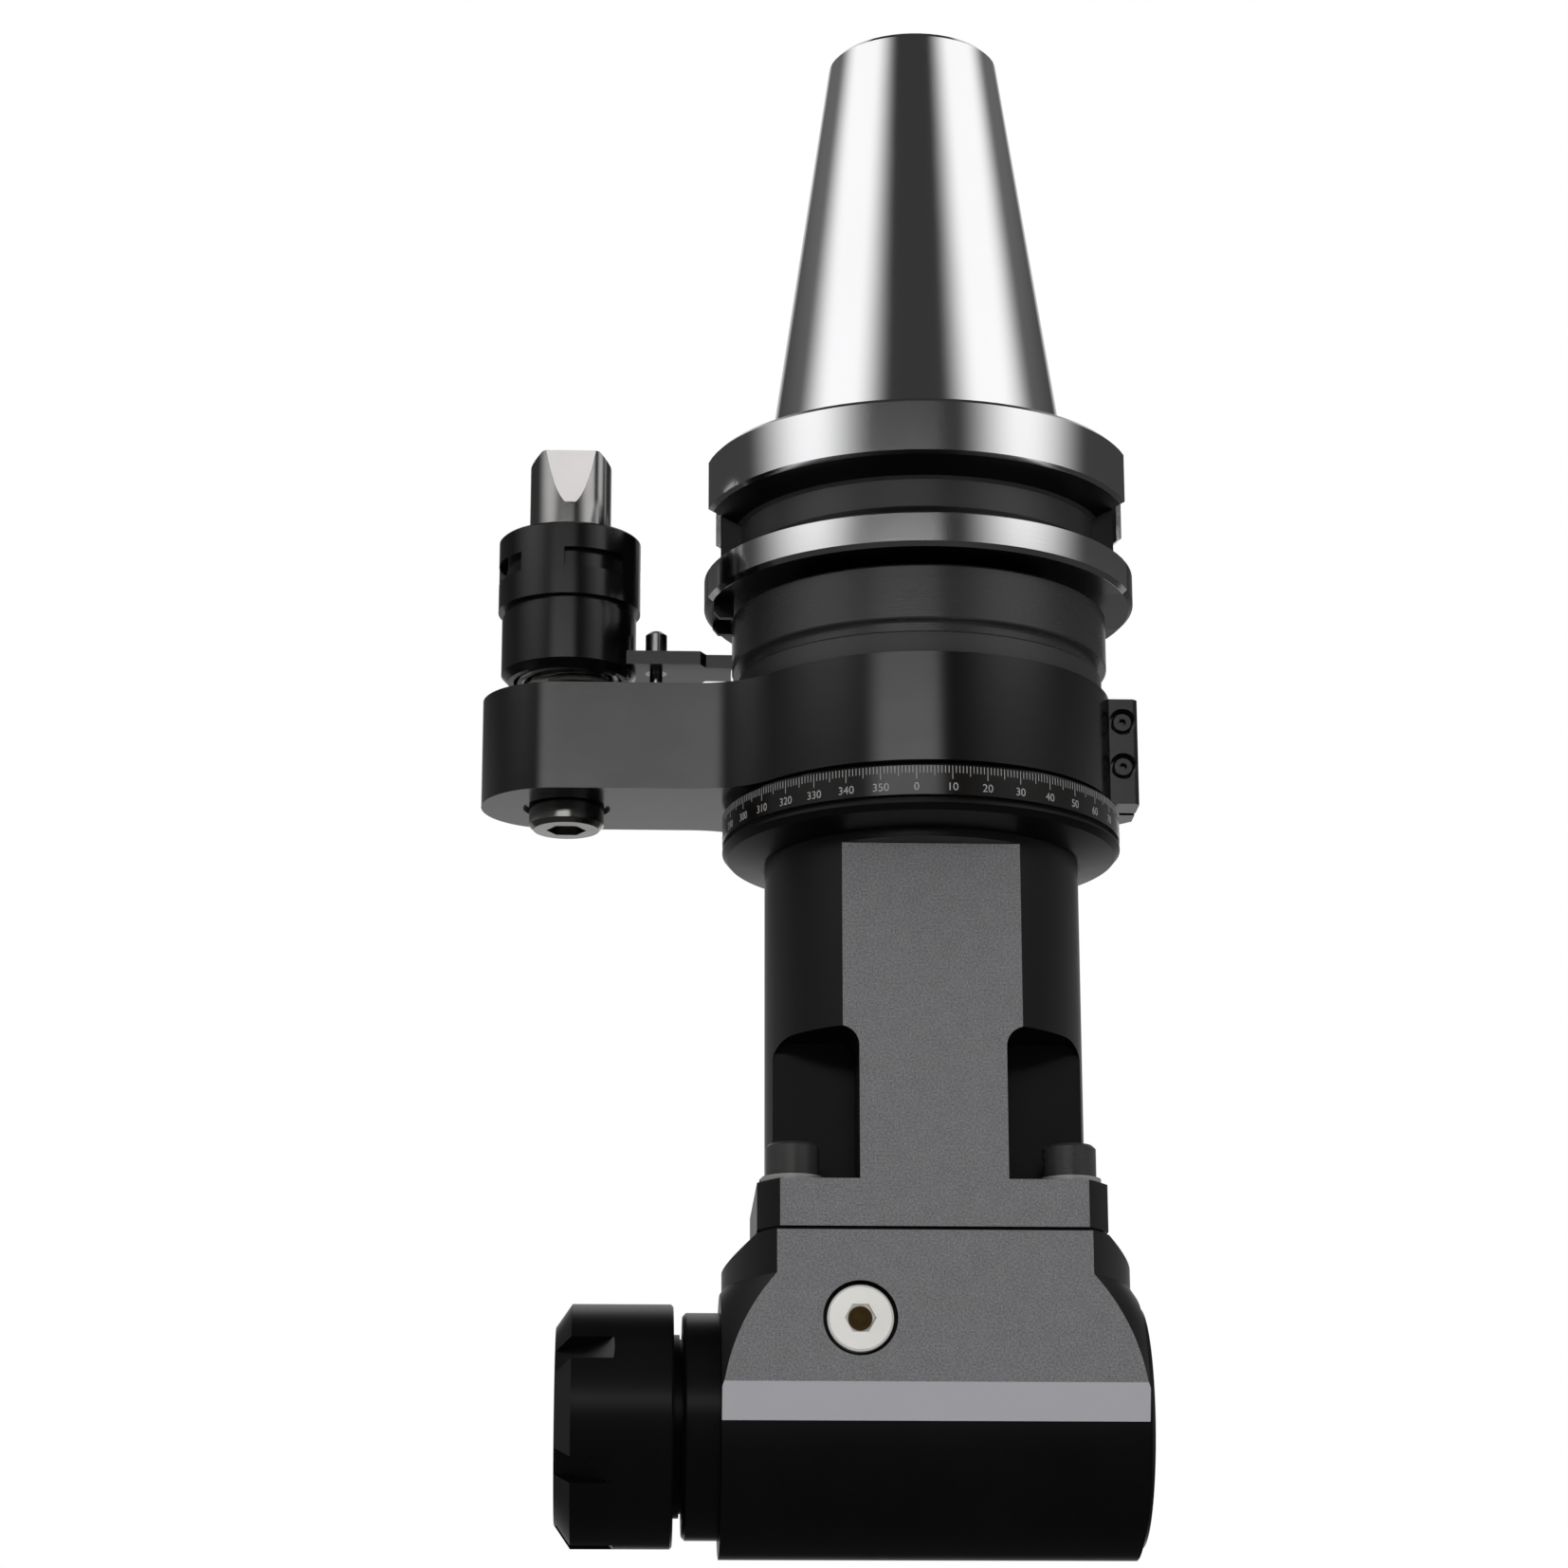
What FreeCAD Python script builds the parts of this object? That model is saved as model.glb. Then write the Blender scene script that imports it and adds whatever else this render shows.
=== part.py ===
import FreeCAD, Part
import math
import os

import Sketcher
from FreeCAD import Placement, Rotation, Vector

# Right-angle milling head on a 7/24 taper number 50.
# Millimetres, +Z up the taper. The origin lies on the spindle axis at the gauge line.
# X runs along the output axis and the tool points to -X. The front face looks to -Y.

doc = FreeCAD.newDocument("AngleHead")

SIZES = [
    ("gauge_rad", 34.925, "taper radius at the gauge line"),
    ("taper_len", 101.8, "gauge line to small end"),
    ("taper_slope", 0.1458333, "radius lost for each millimetre, 7 in 24 on diameter"),
    ("stud_rad", 10.4, "pull stud thread, wall radius"),
    ("stud_pilot_rad", 12.5, "pull stud pilot"),
    ("stud_depth", 50, "depth of the stud thread"),
    ("flange_rad", 50, "gripper flange"),
    ("flange_top", -3, "upper face of the flange"),
    ("groove_top", -15.5, "gripper groove, upper edge"),
    ("groove_bottom", -30.5, "gripper groove, lower edge"),
    ("groove_rad", 42.5, "bottom of the gripper groove"),
    ("groove_flat", 6.34, "width of the groove bottom"),
    ("flange_bottom", -38, "lower face of the flange"),
    ("slot_width", 25.7, "drive slot"),
    ("slot_floor", 35.4, "axis to the floor of a drive slot"),
    ("slot_angle", -5.3, "drive slots, turned from the X axis"),
    ("dog_rad", 45.4, "outer face of the orientation dogs"),
    ("dog_screw_z", -24, "height of the dog screws"),
    ("dog_top", -17, "upper face of the dogs"),
    ("dog_foot", -41.5, "lower end of the long dog"),
    ("journal_rad", 27.5, "shank under the flange"),
    ("upper_seat_rad", 22.5, "upper bearing seat"),
    ("upper_top", -62, "upper face of the upper bearings"),
    ("upper_width", 24, "width of the upper bearing pair"),
    ("quill_rad", 17, "drive shaft in the upper neck"),
    ("stem_rad", 12, "drive shaft in the lower neck"),
    ("cover_rad", 43.5, "top cover"),
    ("cover_top", -40.1, "upper face of the top cover"),
    ("cover_bottom", -52.9, "lower edge of the wide part of the cover"),
    ("split_z", -55.4, "joint between cover and neck"),
    ("collar_rad", 42.3, "collar above the clamp ring"),
    ("seat_top", -60.3, "start of the clamp ring seat"),
    ("seat_rad", 38.25, "clamp ring seat"),
    ("dial_top", -87.1, "upper face of the index dial"),
    ("dial_bottom", -94.2, "lower face of the index dial"),
    ("dial_rad", 45.6, "index dial"),
    ("dial_seat_rad", 40, "seat of the index dial"),
    ("lip_top", -95.5, "lip under the dial, upper edge"),
    ("lip_bottom", -96, "lip under the dial, lower edge"),
    ("shoulder_z", -99.1, "start of the neck tube"),
    ("flat_top", -101.1, "upper end of the front flat and of the rear flat"),
    ("neck_rad", 35.9, "neck tube"),
    ("face_half", 30, "axis to the front flat and to the rear flat"),
    ("pocket_in", 16.2, "axis to the inner wall of a screw pocket"),
    ("pocket_out", 34.6, "axis to the outer wall of a screw pocket"),
    ("pocket_back", 10, "axis to the rear wall of a screw pocket"),
    ("pocket_top", -142.6, "ceiling of the screw pockets"),
    ("pocket_round", 4.4, "rounding of the pocket ceiling"),
    ("foot_top", -176.5, "upper face of the joint flange"),
    ("foot_bottom", -186.9, "lower face of the joint flange"),
    ("foot_rad", 45, "turned corners of the joint flange"),
    ("foot_half", 38.4, "half length of the joint flange"),
    ("head_top", -187.7, "upper face of the head"),
    ("head_rad", 45.5, "turned top of the head"),
    ("head_half", 46, "half length of the head"),
    ("ball_rad", 55, "round shoulders of the head"),
    ("axis_z", -226.7, "height of the output axis"),
    ("belly_z", -228, "centre of the round underside and shoulders"),
    ("belly_rad", 27.6, "round underside of the head"),
    ("facet_top", -220.2, "upper edge of the facet under the front flat"),
    ("cavity_rad", 25.3, "gear chamber"),
    ("bolt_x", 30.5, "joint screws, half spacing along the head"),
    ("bolt_y", 20, "joint screws, half spacing across the head"),
    ("bolt_rad", 4, "joint screw shank"),
    ("dowel_x", 33.3, "joint dowels, distance from the axis"),
    ("lower_seat_rad", 17.5, "lower bearing, bore radius"),
    ("lower_out_rad", 27.5, "lower bearing, outside radius"),
    ("lower_width", 9.6, "width of the lower bearing"),
    ("gear_pitch", 22.5, "pitch radius of the mitre gears"),
    ("gear_teeth", 18, "teeth of each mitre gear"),
    ("gear_face", 9, "face width of the teeth"),
    ("gear_play", 0.12, "side play cut from every tooth flank"),
    ("front_seat_rad", 17.5, "front bearings, bore radius"),
    ("front_out_rad", 23.5, "front bearings, outside radius"),
    ("rear_seat_rad", 10, "rear bearing, bore radius"),
    ("rear_out_rad", 18.5, "rear bearing, outside radius"),
    ("nose_rad", 24.8, "seal collar at the nose"),
    ("nose_end", 54.2, "outer face of the seal collar"),
    ("thread_rad", 20, "nut thread on the output spindle"),
    ("spindle_end", 77, "face of the output spindle"),
    ("nut_back", 56.2, "rear face of the collet nut"),
    ("nut_front", 82, "front face of the collet nut"),
    ("nut_rad", 26.65, "collet nut"),
    ("mouth_rad", 16.5, "collet seat at the spindle face"),
    ("tool_rad", 10, "tool bore of the collet"),
    ("arm_top", -60.8, "upper face of the arm"),
    ("arm_bottom", -85.8, "lower face of the arm"),
    ("ring_rad", 44, "outside of the clamp ring"),
    ("ring_bore", 38.3, "bore of the clamp ring"),
    ("pin_x", 81.4, "spindle axis to stop pin axis"),
    ("arm_half", 18, "half width of the arm"),
    ("blend_rad", 22, "blend of the arm into the ring"),
    ("lug_end", 49.7, "end of the clamp lug"),
    ("lug_half", 9, "half thickness of the clamp lug"),
    ("pin_rad", 9.5, "stop pin"),
    ("pin_top", -1, "top of the stop pin"),
    ("collar_out", 16.5, "adjusting ring"),
    ("collar_top", -21.6, "top of the adjusting ring"),
    ("collar_low", -39, "bottom of the adjusting ring"),
    ("sleeve_rad", 15.6, "stop sleeve"),
    ("sleeve_low", -55.8, "bottom of the stop sleeve"),
    ("latch_top", -50, "upper face of the latch plate"),
    ("latch_thick", 3.2, "thickness of the latch plate"),
    ("latch_tip", 43.85, "spindle axis to the hollow end of the latch tongue"),
    ("guide_x", 61.1, "spindle axis to guide pin axis"),
    ("guide_rad", 2.5, "head of the guide pin"),
    ("guide_stem", 1.5, "guide pin in the arm"),
    ("guide_low", -76, "lower end of the guide pin"),
    ("clamp_screw_z", -66.2, "upper clamp screw"),
    ("clamp_screw_gap", 10.6, "upper clamp screw to lower clamp screw"),
]

FULL_TURN = Rotation()
TO_NOSE = Rotation(Vector(0, 1, 0), -90)
TO_REAR = Rotation(Vector(0, 1, 0), 90)
exported = []


class Dim:
    """A sheet size, or a sum made from sheet sizes, as a number and as expression text."""

    def __init__(self, value, text):
        self.value = value
        self.text = text

    def __add__(self, other):
        other = as_dim(other)
        return Dim(self.value + other.value, f"({self.text} + {other.text})")

    def __sub__(self, other):
        other = as_dim(other)
        return Dim(self.value - other.value, f"({self.text} - {other.text})")

    def __mul__(self, other):
        other = as_dim(other)
        return Dim(self.value * other.value, f"({self.text} * {other.text})")

    def __neg__(self):
        return Dim(-self.value, f"(0 - {self.text})")

    def __radd__(self, other):
        return as_dim(other) + self

    def __rsub__(self, other):
        return as_dim(other) - self

    def __rmul__(self, other):
        return as_dim(other) * self


def as_dim(value):
    if isinstance(value, Dim):
        return value
    return Dim(float(value), f"{float(value):.6f}")


class Sheet:
    """The driving sizes, readable as attributes."""


def make_sheet():
    sheet = doc.addObject("Spreadsheet::Sheet", "Sizes")
    size = Sheet()
    for row, (alias, value, note) in enumerate(SIZES, start=1):
        sheet.set(f"A{row}", note)
        sheet.set(f"B{row}", str(value))
        sheet.setAlias(f"B{row}", alias)
    doc.recompute()
    for alias, value, note in SIZES:
        setattr(size, alias, Dim(float(sheet.get(alias)), f"Sizes.{alias}"))
    return size


S = make_sheet()


def bind(thing, path, size):
    """Drive one property from the sheet."""
    if "Sizes." in size.text:
        thing.setExpression(path, size.text)


def new_body(name):
    body = doc.addObject("PartDesign::Body", name)
    body.Label = name
    return body


def origin_part(body, role):
    for feature in body.Origin.OriginFeatures:
        if feature.Role == role:
            return feature
    raise ValueError(role)


def sketch_on(body, role, lift=0):
    """A sketch on an origin plane of the body, lifted along the plane's normal."""
    lift = as_dim(lift)
    sketch = body.newObject("Sketcher::SketchObject", body.Label + "_outline")
    sketch.AttachmentSupport = [(origin_part(body, role), "")]
    sketch.MapMode = "FlatFace"
    sketch.AttachmentOffset = Placement(Vector(0, 0, lift.value), Rotation())
    bind(sketch, "AttachmentOffset.Base.z", lift)
    sketch.Visibility = False
    return sketch


def hold(sketch, kind, refs, size):
    index = sketch.addConstraint(Sketcher.Constraint(kind, *refs, size.value))
    bind(sketch, f"Constraints[{index}]", size)


def pin_point(sketch, geo, pos, x, y):
    """Fix one sketch point at sheet-driven coordinates."""
    if x.value == 0:
        sketch.addConstraint(Sketcher.Constraint("PointOnObject", geo, pos, -2))
    else:
        hold(sketch, "DistanceX", (-1, 1, geo, pos), x)
    if y.value == 0:
        sketch.addConstraint(Sketcher.Constraint("PointOnObject", geo, pos, -1))
    else:
        hold(sketch, "DistanceY", (-1, 1, geo, pos), y)


def polygon(sketch, points):
    """A closed outline through sheet-driven corners."""
    corners = [(as_dim(x), as_dim(y)) for x, y in points]
    first = sketch.GeometryCount
    count = len(corners)
    for index in range(count):
        here = corners[index]
        there = corners[(index + 1) % count]
        start = Vector(here[0].value, here[1].value, 0)
        end = Vector(there[0].value, there[1].value, 0)
        sketch.addGeometry(Part.LineSegment(start, end), False)
    for index in range(count):
        after = first + (index + 1) % count
        sketch.addConstraint(Sketcher.Constraint("Coincident", first + index, 2, after, 1))
    for index, (x, y) in enumerate(corners):
        pin_point(sketch, first + index, 1, x, y)


def box_outline(sketch, x0, y0, x1, y1):
    polygon(sketch, [(x0, y0), (x1, y0), (x1, y1), (x0, y1)])


def disc(sketch, x, y, radius):
    """A full circle with a sheet-driven centre and radius."""
    x = as_dim(x)
    y = as_dim(y)
    radius = as_dim(radius)
    circle = Part.Circle(Vector(x.value, y.value, 0), Vector(0, 0, 1), radius.value)
    geo = sketch.addGeometry(circle, False)
    hold(sketch, "Radius", (geo,), radius)
    pin_point(sketch, geo, 3, x, y)


def turn(body, points, cut=False, role="XZ_Plane"):
    """Revolve an outline of (radius, height) pairs about the body's own Z axis."""
    sketch = sketch_on(body, role)
    polygon(sketch, points)
    kind = "PartDesign::Groove" if cut else "PartDesign::Revolution"
    feature = body.newObject(kind, body.Label + "_turned")
    feature.Profile = sketch
    feature.ReferenceAxis = (sketch, ["V_Axis"])
    feature.Angle = 360
    return feature


def turned(name, points):
    body = new_body(name)
    turn(body, points)
    return body


def pad(body, sketch, length, both=False, flip=False):
    feature = body.newObject("PartDesign::Pad", body.Label + "_pad")
    feature.Profile = sketch
    length = as_dim(length)
    feature.Length = length.value
    bind(feature, "Length", length)
    feature.Midplane = both
    feature.Reversed = flip
    return feature


def pocket(body, sketch, length, both=False, flip=False):
    """Cut along the direction opposite to the sketch normal, or along it when flipped."""
    feature = body.newObject("PartDesign::Pocket", body.Label + "_cut")
    feature.Profile = sketch
    length = as_dim(length)
    feature.Length = length.value
    bind(feature, "Length", length)
    feature.Midplane = both
    feature.Reversed = flip
    return feature


def polar(body, feature, count):
    """Repeat a feature evenly about the body's own Z axis."""
    ring = body.newObject("PartDesign::PolarPattern", body.Label + "_ring")
    ring.Originals = [feature]
    ring.Axis = (origin_part(body, "Z_Axis"), [""])
    ring.Angle = 360
    ring.Occurrences = count
    body.Tip = ring
    return ring


def mirror(body, features, role):
    copy = body.newObject("PartDesign::Mirrored", body.Label + "_mirror")
    copy.Originals = features
    copy.MirrorPlane = (origin_part(body, role), [""])
    body.Tip = copy
    return copy


def edges_where(feature, test):
    """Names of the edges whose middle point passes the test."""
    names = []
    for index, edge in enumerate(feature.Shape.Edges, start=1):
        middle = edge.valueAt((edge.FirstParameter + edge.LastParameter) / 2)
        if test(middle, edge):
            names.append(f"Edge{index}")
    return names


def dress(body, kind, feature, test, size):
    """Round or bevel the chosen edges."""
    doc.recompute()
    names = edges_where(feature, test)
    if not names:
        raise ValueError(f"no edge found on {body.Label}")
    result = body.newObject("PartDesign::" + kind, body.Label + "_" + kind.lower())
    result.Base = (feature, names)
    path = "Radius" if kind == "Fillet" else "Size"
    size = as_dim(size)
    setattr(result, path, size.value)
    bind(result, path, size)
    return result


def place(thing, x=0, y=0, z=0, rotation=None):
    x = as_dim(x)
    y = as_dim(y)
    z = as_dim(z)
    thing.Placement = Placement(Vector(x.value, y.value, z.value), rotation or Rotation())
    bind(thing, "Placement.Base.x", x)
    bind(thing, "Placement.Base.y", y)
    bind(thing, "Placement.Base.z", z)
    exported.append(thing)


def on_output(thing, rotation=TO_NOSE):
    place(thing, 0, 0, S.axis_z, rotation)


def group(name, shape, x=0, y=0, z=0, rotation=None):
    """Like pieces under one name, as a group of separate solids."""
    thing = doc.addObject("Part::Feature", name)
    thing.Label = name
    thing.Shape = shape
    place(thing, x, y, z, rotation)
    return thing


def rect(r0, r1, z0, z1):
    return [(r0, z0), (r1, z0), (r1, z1), (r0, z1)]


# The shank and what turns with it.

def taper_shank():
    """Taper, gripper flange and drive shaft, turned from one bar, with two drive slots."""
    top = S.taper_len
    low = S.upper_top - S.upper_width
    half = S.groove_flat * 0.5
    mid = (S.groove_top + S.groove_bottom) * 0.5
    body = new_body("taper_shank")
    turn(body, [
        (0, top - S.stud_depth - 6), (S.stud_rad, top - S.stud_depth),
        (S.stud_rad, top - 9), (S.stud_pilot_rad, top - 9), (S.stud_pilot_rad, top - 1),
        (S.stud_pilot_rad + 1, top), (S.gauge_rad - S.taper_slope * S.taper_len - 1, top),
        (S.gauge_rad - S.taper_slope * (S.taper_len - 1.2), top - 1.2),
        (S.gauge_rad, 0), (S.gauge_rad - 0.9, -1), (S.gauge_rad - 0.9, S.flange_top),
        (S.flange_rad - 1, S.flange_top), (S.flange_rad, S.flange_top - 1),
        (S.flange_rad, S.groove_top), (S.groove_rad, mid + half), (S.groove_rad, mid - half),
        (S.flange_rad, S.groove_bottom), (S.flange_rad, S.flange_bottom + 1),
        (S.flange_rad - 1, S.flange_bottom), (S.journal_rad, S.flange_bottom),
        (S.journal_rad, -57.5), (S.journal_rad - 1.5, -57.5), (S.journal_rad - 1.5, S.upper_top),
        (S.upper_seat_rad, S.upper_top), (S.upper_seat_rad, low), (S.upper_seat_rad, low - 8.5),
        (S.upper_seat_rad - 1, low - 9.5), (S.quill_rad, low - 9.5), (S.quill_rad, -137),
        (S.stem_rad, -139), (S.stem_rad, S.axis_z + 17.65), (S.stem_rad - 2, S.axis_z + 17.65),
        (S.stem_rad - 2, S.axis_z + 14), (S.stem_rad - 2.6, S.axis_z + 13.5),
        (0, S.axis_z + 13.5),
    ])
    slots = sketch_on(body, "XY_Plane", S.flange_top + 1)
    turn_with_slots(slots)
    half_slot = S.slot_width * 0.5
    box_outline(slots, S.slot_floor, -half_slot, 60, half_slot)
    box_outline(slots, -60, -half_slot, -S.slot_floor, half_slot)
    pocket(body, slots, S.flange_top - S.flange_bottom + 2)
    key = sketch_on(body, "XZ_Plane")
    box_outline(key, S.stem_rad - 3, -206, S.stem_rad + 3, -190)
    pocket(body, key, 6, both=True)
    place(body)


def turn_with_slots(sketch):
    """Turn a sketch on the XY plane to the angle of the drive slots."""
    offset = sketch.AttachmentOffset
    sketch.AttachmentOffset = Placement(offset.Base, Rotation(Vector(0, 0, 1), S.slot_angle.value))


def slot_face(body, lift):
    """A sketch square to the middle line of the drive slots, lifted outwards along it."""
    sketch = sketch_on(body, "YZ_Plane")
    about = Rotation(Vector(0, 1, 0), S.slot_angle.value)
    sketch.AttachmentOffset = Placement(about.multVec(Vector(0, 0, lift)), about)
    return sketch


def drive_dog(name, side):
    """Block that fills the lower half of one drive slot, as round as the flange below."""
    body = new_body(name)
    half = S.slot_width * 0.5 - 0.05
    block = sketch_on(body, "XY_Plane", S.dog_top)
    turn_with_slots(block)
    near = side * S.slot_floor
    far = side * (S.flange_rad + 5)
    box_outline(block, near, -half, far, half)
    pad(body, block, S.dog_top - S.flange_bottom, flip=True)
    turn(body, [
        (S.flange_rad, S.dog_top + 1), (S.flange_rad, S.flange_bottom + 1),
        (S.flange_rad - 1.5, S.flange_bottom - 0.5), (80, S.flange_bottom - 0.5),
        (80, S.dog_top + 1),
    ], cut=True)
    step = sketch_on(body, "XY_Plane", S.groove_bottom)
    turn_with_slots(step)
    box_outline(step, side * S.dog_rad, -20, side * 60, 20)
    pocket(body, step, S.dog_top - S.groove_bottom + 1, flip=True)
    bore = slot_face(body, side * 60)
    disc(bore, 0, S.dog_screw_z, 3.2)
    pocket(body, bore, 30, flip=side < 0)
    seat = slot_face(body, side * 60)
    disc(seat, 0, S.dog_screw_z, 5.2)
    pocket(body, seat, 60 - 40.6, flip=side < 0)
    return body


def drive_dogs():
    """The left dog has a foot that faces the arm, and the latch tongue enters its gate."""
    long_dog = drive_dog("long_dog", -1)
    foot = sketch_on(long_dog, "XZ_Plane")
    top = S.flange_bottom + 1.5
    polygon(foot, [
        (-42.5, top), (-42.5, S.dog_foot), (-46.6, S.dog_foot), (-47.9, S.dog_foot + 1.6),
        (-47.9, top),
    ])
    pad(long_dog, foot, 14, both=True)
    turn(long_dog, rect(0, S.latch_tip, S.dog_foot - 1, S.flange_bottom), cut=True)
    gate = sketch_on(long_dog, "XZ_Plane")
    box_outline(gate, -50, S.dog_foot - 1, -42, S.flange_bottom - 1.2)
    pocket(long_dog, gate, 10.8, both=True)
    place(long_dog)
    place(drive_dog("short_dog", 1))


def hex_prism(across, depth):
    corners = []
    for index in range(7):
        angle = math.radians(60 * index)
        corners.append(Vector(math.cos(angle), math.sin(angle), 0) * (across / math.sqrt(3)))
    return Part.Face(Part.makePolygon(corners)).extrude(Vector(0, 0, depth))


def cap_screw(shank_rad, length, head_rad, head, across, edge=0.4):
    """Socket head cap screw. The head stands on z = 0 and the shank runs down."""
    outline = [
        (0, -length), (shank_rad - 0.3, -length), (shank_rad, -length + 0.3), (shank_rad, 0),
        (head_rad, 0), (head_rad, head - edge), (head_rad - edge, head), (0, head),
    ]
    wire = Part.makePolygon([Vector(r, 0, z) for r, z in outline + outline[:1]])
    screw = Part.Face(wire).revolve(Vector(0, 0, 0), Vector(0, 0, 1), 360)
    socket = hex_prism(across, head * 0.6 + 1)
    socket.translate(Vector(0, 0, head * 0.4))
    return screw.cut(socket)


def spread(shape, spots, rotation=None):
    """Copies of one solid at several spots, as a compound."""
    copies = []
    for spot in spots:
        copy = shape.copy()
        copy.Placement = Placement(Vector(*spot), rotation or Rotation())
        copies.append(copy)
    return Part.makeCompound(copies)


def dog_screws():
    screw = cap_screw(3, 13, 5, 4.6, 5)
    height = S.dog_screw_z.value
    left = screw.copy()
    left.Placement = Placement(Vector(-40.6, 0, height), TO_NOSE)
    right = screw.copy()
    right.Placement = Placement(Vector(40.6, 0, height), TO_REAR)
    about = Rotation(Vector(0, 0, 1), S.slot_angle.value)
    group("dog_screws", Part.makeCompound([left, right]), rotation=about)


def cut_screw_holes_in_shank():
    """Threaded holes for the dog screws in both slot floors."""
    body = doc.getObject("taper_shank")
    for side in (-1, 1):
        hole = slot_face(body, side * 60)
        disc(hole, 0, S.dog_screw_z, 3)
        pocket(body, hole, 33, flip=side < 0)


# Mitre gears. Their own Z axis starts at the crossing point of the two shafts.

def tooth_gap(body, reach, phase):
    """Outline of one tooth gap in the plane at the given distance from the crossing point."""
    teeth = S.gear_teeth.value
    pitch = S.gear_pitch.value
    module = 2 * pitch / teeth
    back = pitch * math.sqrt(2)
    base = back * math.cos(math.radians(20))
    start = math.tan(math.radians(20)) - math.radians(20)
    flank = []
    for share in (-1.2, -0.7, -0.2, 0.3, 0.75, 1.2):
        radius = back + share * module
        if radius > base:
            roll = math.acos(base / radius)
            inv = math.tan(roll) - roll
        else:
            inv = 0.0
        half = radius * (math.pi * module / 4 / back + start - inv) - S.gear_play.value
        along = pitch + share * module / math.sqrt(2)
        height = pitch - share * module / math.sqrt(2)
        angle = math.pi / teeth - half / along
        flank.append((along / height * reach, angle))
    right = [(r * math.cos(a), r * math.sin(a)) for r, a in flank]
    left = [(x, -y) for x, y in reversed(right)]
    turn_by = math.radians(phase)
    corners = []
    for x, y in right + left:
        corners.append(Vector(x * math.cos(turn_by) - y * math.sin(turn_by),
                              x * math.sin(turn_by) + y * math.cos(turn_by), 0))
    sketch = sketch_on(body, "XY_Plane", reach)
    for index, corner in enumerate(corners):
        follower = corners[(index + 1) % len(corners)]
        sketch.addGeometry(Part.LineSegment(corner, follower), False)
    for index in range(len(corners)):
        after = (index + 1) % len(corners)
        sketch.addConstraint(Sketcher.Constraint("Coincident", index, 2, after, 1))
        sketch.addConstraint(Sketcher.Constraint("Block", index))
    return sketch


def cut_teeth(body, phase):
    gap = body.newObject("PartDesign::SubtractiveLoft", body.Label + "_gap")
    gap.Profile = tooth_gap(body, 29, phase)
    gap.Sections = [tooth_gap(body, 11, phase)]
    gap.Ruled = True
    doc.recompute()
    polar(body, gap, int(S.gear_teeth.value))


def gear_blank(hub_rad, hub_end, bore):
    """Toothed rim between two cones square to the pitch line, with a hub behind it."""
    lift = 2.5 / math.sqrt(2)
    inner = 1 - S.gear_face.value / (S.gear_pitch.value * math.sqrt(2))
    tip_r = S.gear_pitch + lift
    tip_h = S.gear_pitch - lift
    root = 1.25 * 2.5 / math.sqrt(2)
    return [
        (bore, hub_end), (bore, (S.gear_pitch + root) * inner),
        ((S.gear_pitch - root) * inner, (S.gear_pitch + root) * inner),
        (tip_r * inner, tip_h * inner), (tip_r, tip_h),
        (S.gear_pitch - 3, S.gear_pitch + 3), (S.gear_pitch - 3, 29.4),
        (hub_rad, 29.4), (hub_rad, hub_end),
    ]


def input_pinion():
    body = turned("input_pinion", gear_blank(S.lower_seat_rad, 39.3, S.stem_rad))
    cut_teeth(body, 10)
    key = sketch_on(body, "XZ_Plane")
    box_outline(key, S.stem_rad - 1, 20.5, S.stem_rad + 3, 45)
    pocket(body, key, 6, both=True)
    place(body, 0, 0, S.axis_z)


def output_gear():
    body = turned("output_gear", gear_blank(S.stem_rad + 4, 33, S.stem_rad))
    cut_teeth(body, 0)
    key = sketch_on(body, "XZ_Plane")
    box_outline(key, S.stem_rad - 1, 15, S.stem_rad + 2.4, 45)
    pocket(body, key, 5, both=True)
    on_output(body, TO_REAR)


def keys():
    key = new_body("pinion_key")
    outline = sketch_on(key, "XZ_Plane")
    box_outline(outline, S.stem_rad - 3, -205.9, S.stem_rad + 2.8, -190.1)
    pad(key, outline, 6, both=True)
    place(key)
    key = new_body("gear_key")
    outline = sketch_on(key, "XZ_Plane")
    box_outline(outline, S.stem_rad - 2.6, 18.2, S.stem_rad + 2.3, 32)
    pad(key, outline, 5, both=True)
    on_output(key, TO_REAR)


def slotted_nut(name, bore, rad, z0, z1, slots=4, width=4, depth=1.8):
    body = turned(name, [(bore, z0), (rad - 0.5, z0), (rad, z0 + 0.5), (rad, z1 - 0.5),
                         (rad - 0.5, z1), (bore, z1)])
    notch = sketch_on(body, "XY_Plane", z1 + 1)
    box_outline(notch, rad - depth, -width / 2, rad + 5, width / 2)
    cut = pocket(body, notch, z1 - z0 + 2)
    doc.recompute()
    polar(body, cut, slots)
    return body


# The bearings. Races are plain rings and the rollers run between them on a common cage.

def roller_ring(pitch, radius, height, base, count):
    rollers = []
    for index in range(count):
        angle = 2 * math.pi * index / count
        spot = Vector(pitch * math.cos(angle), pitch * math.sin(angle), base)
        rollers.append(Part.makeCylinder(radius, height, spot))
    return rollers


def cage_rings(pitch, half, base, top):
    rings = []
    for start in (base, top - 0.8):
        outer = Part.makeCylinder(pitch + half, 0.8, Vector(0, 0, start))
        inner = Part.makeCylinder(pitch - half, 0.8, Vector(0, 0, start))
        rings.append(outer.cut(inner))
    return rings


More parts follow.
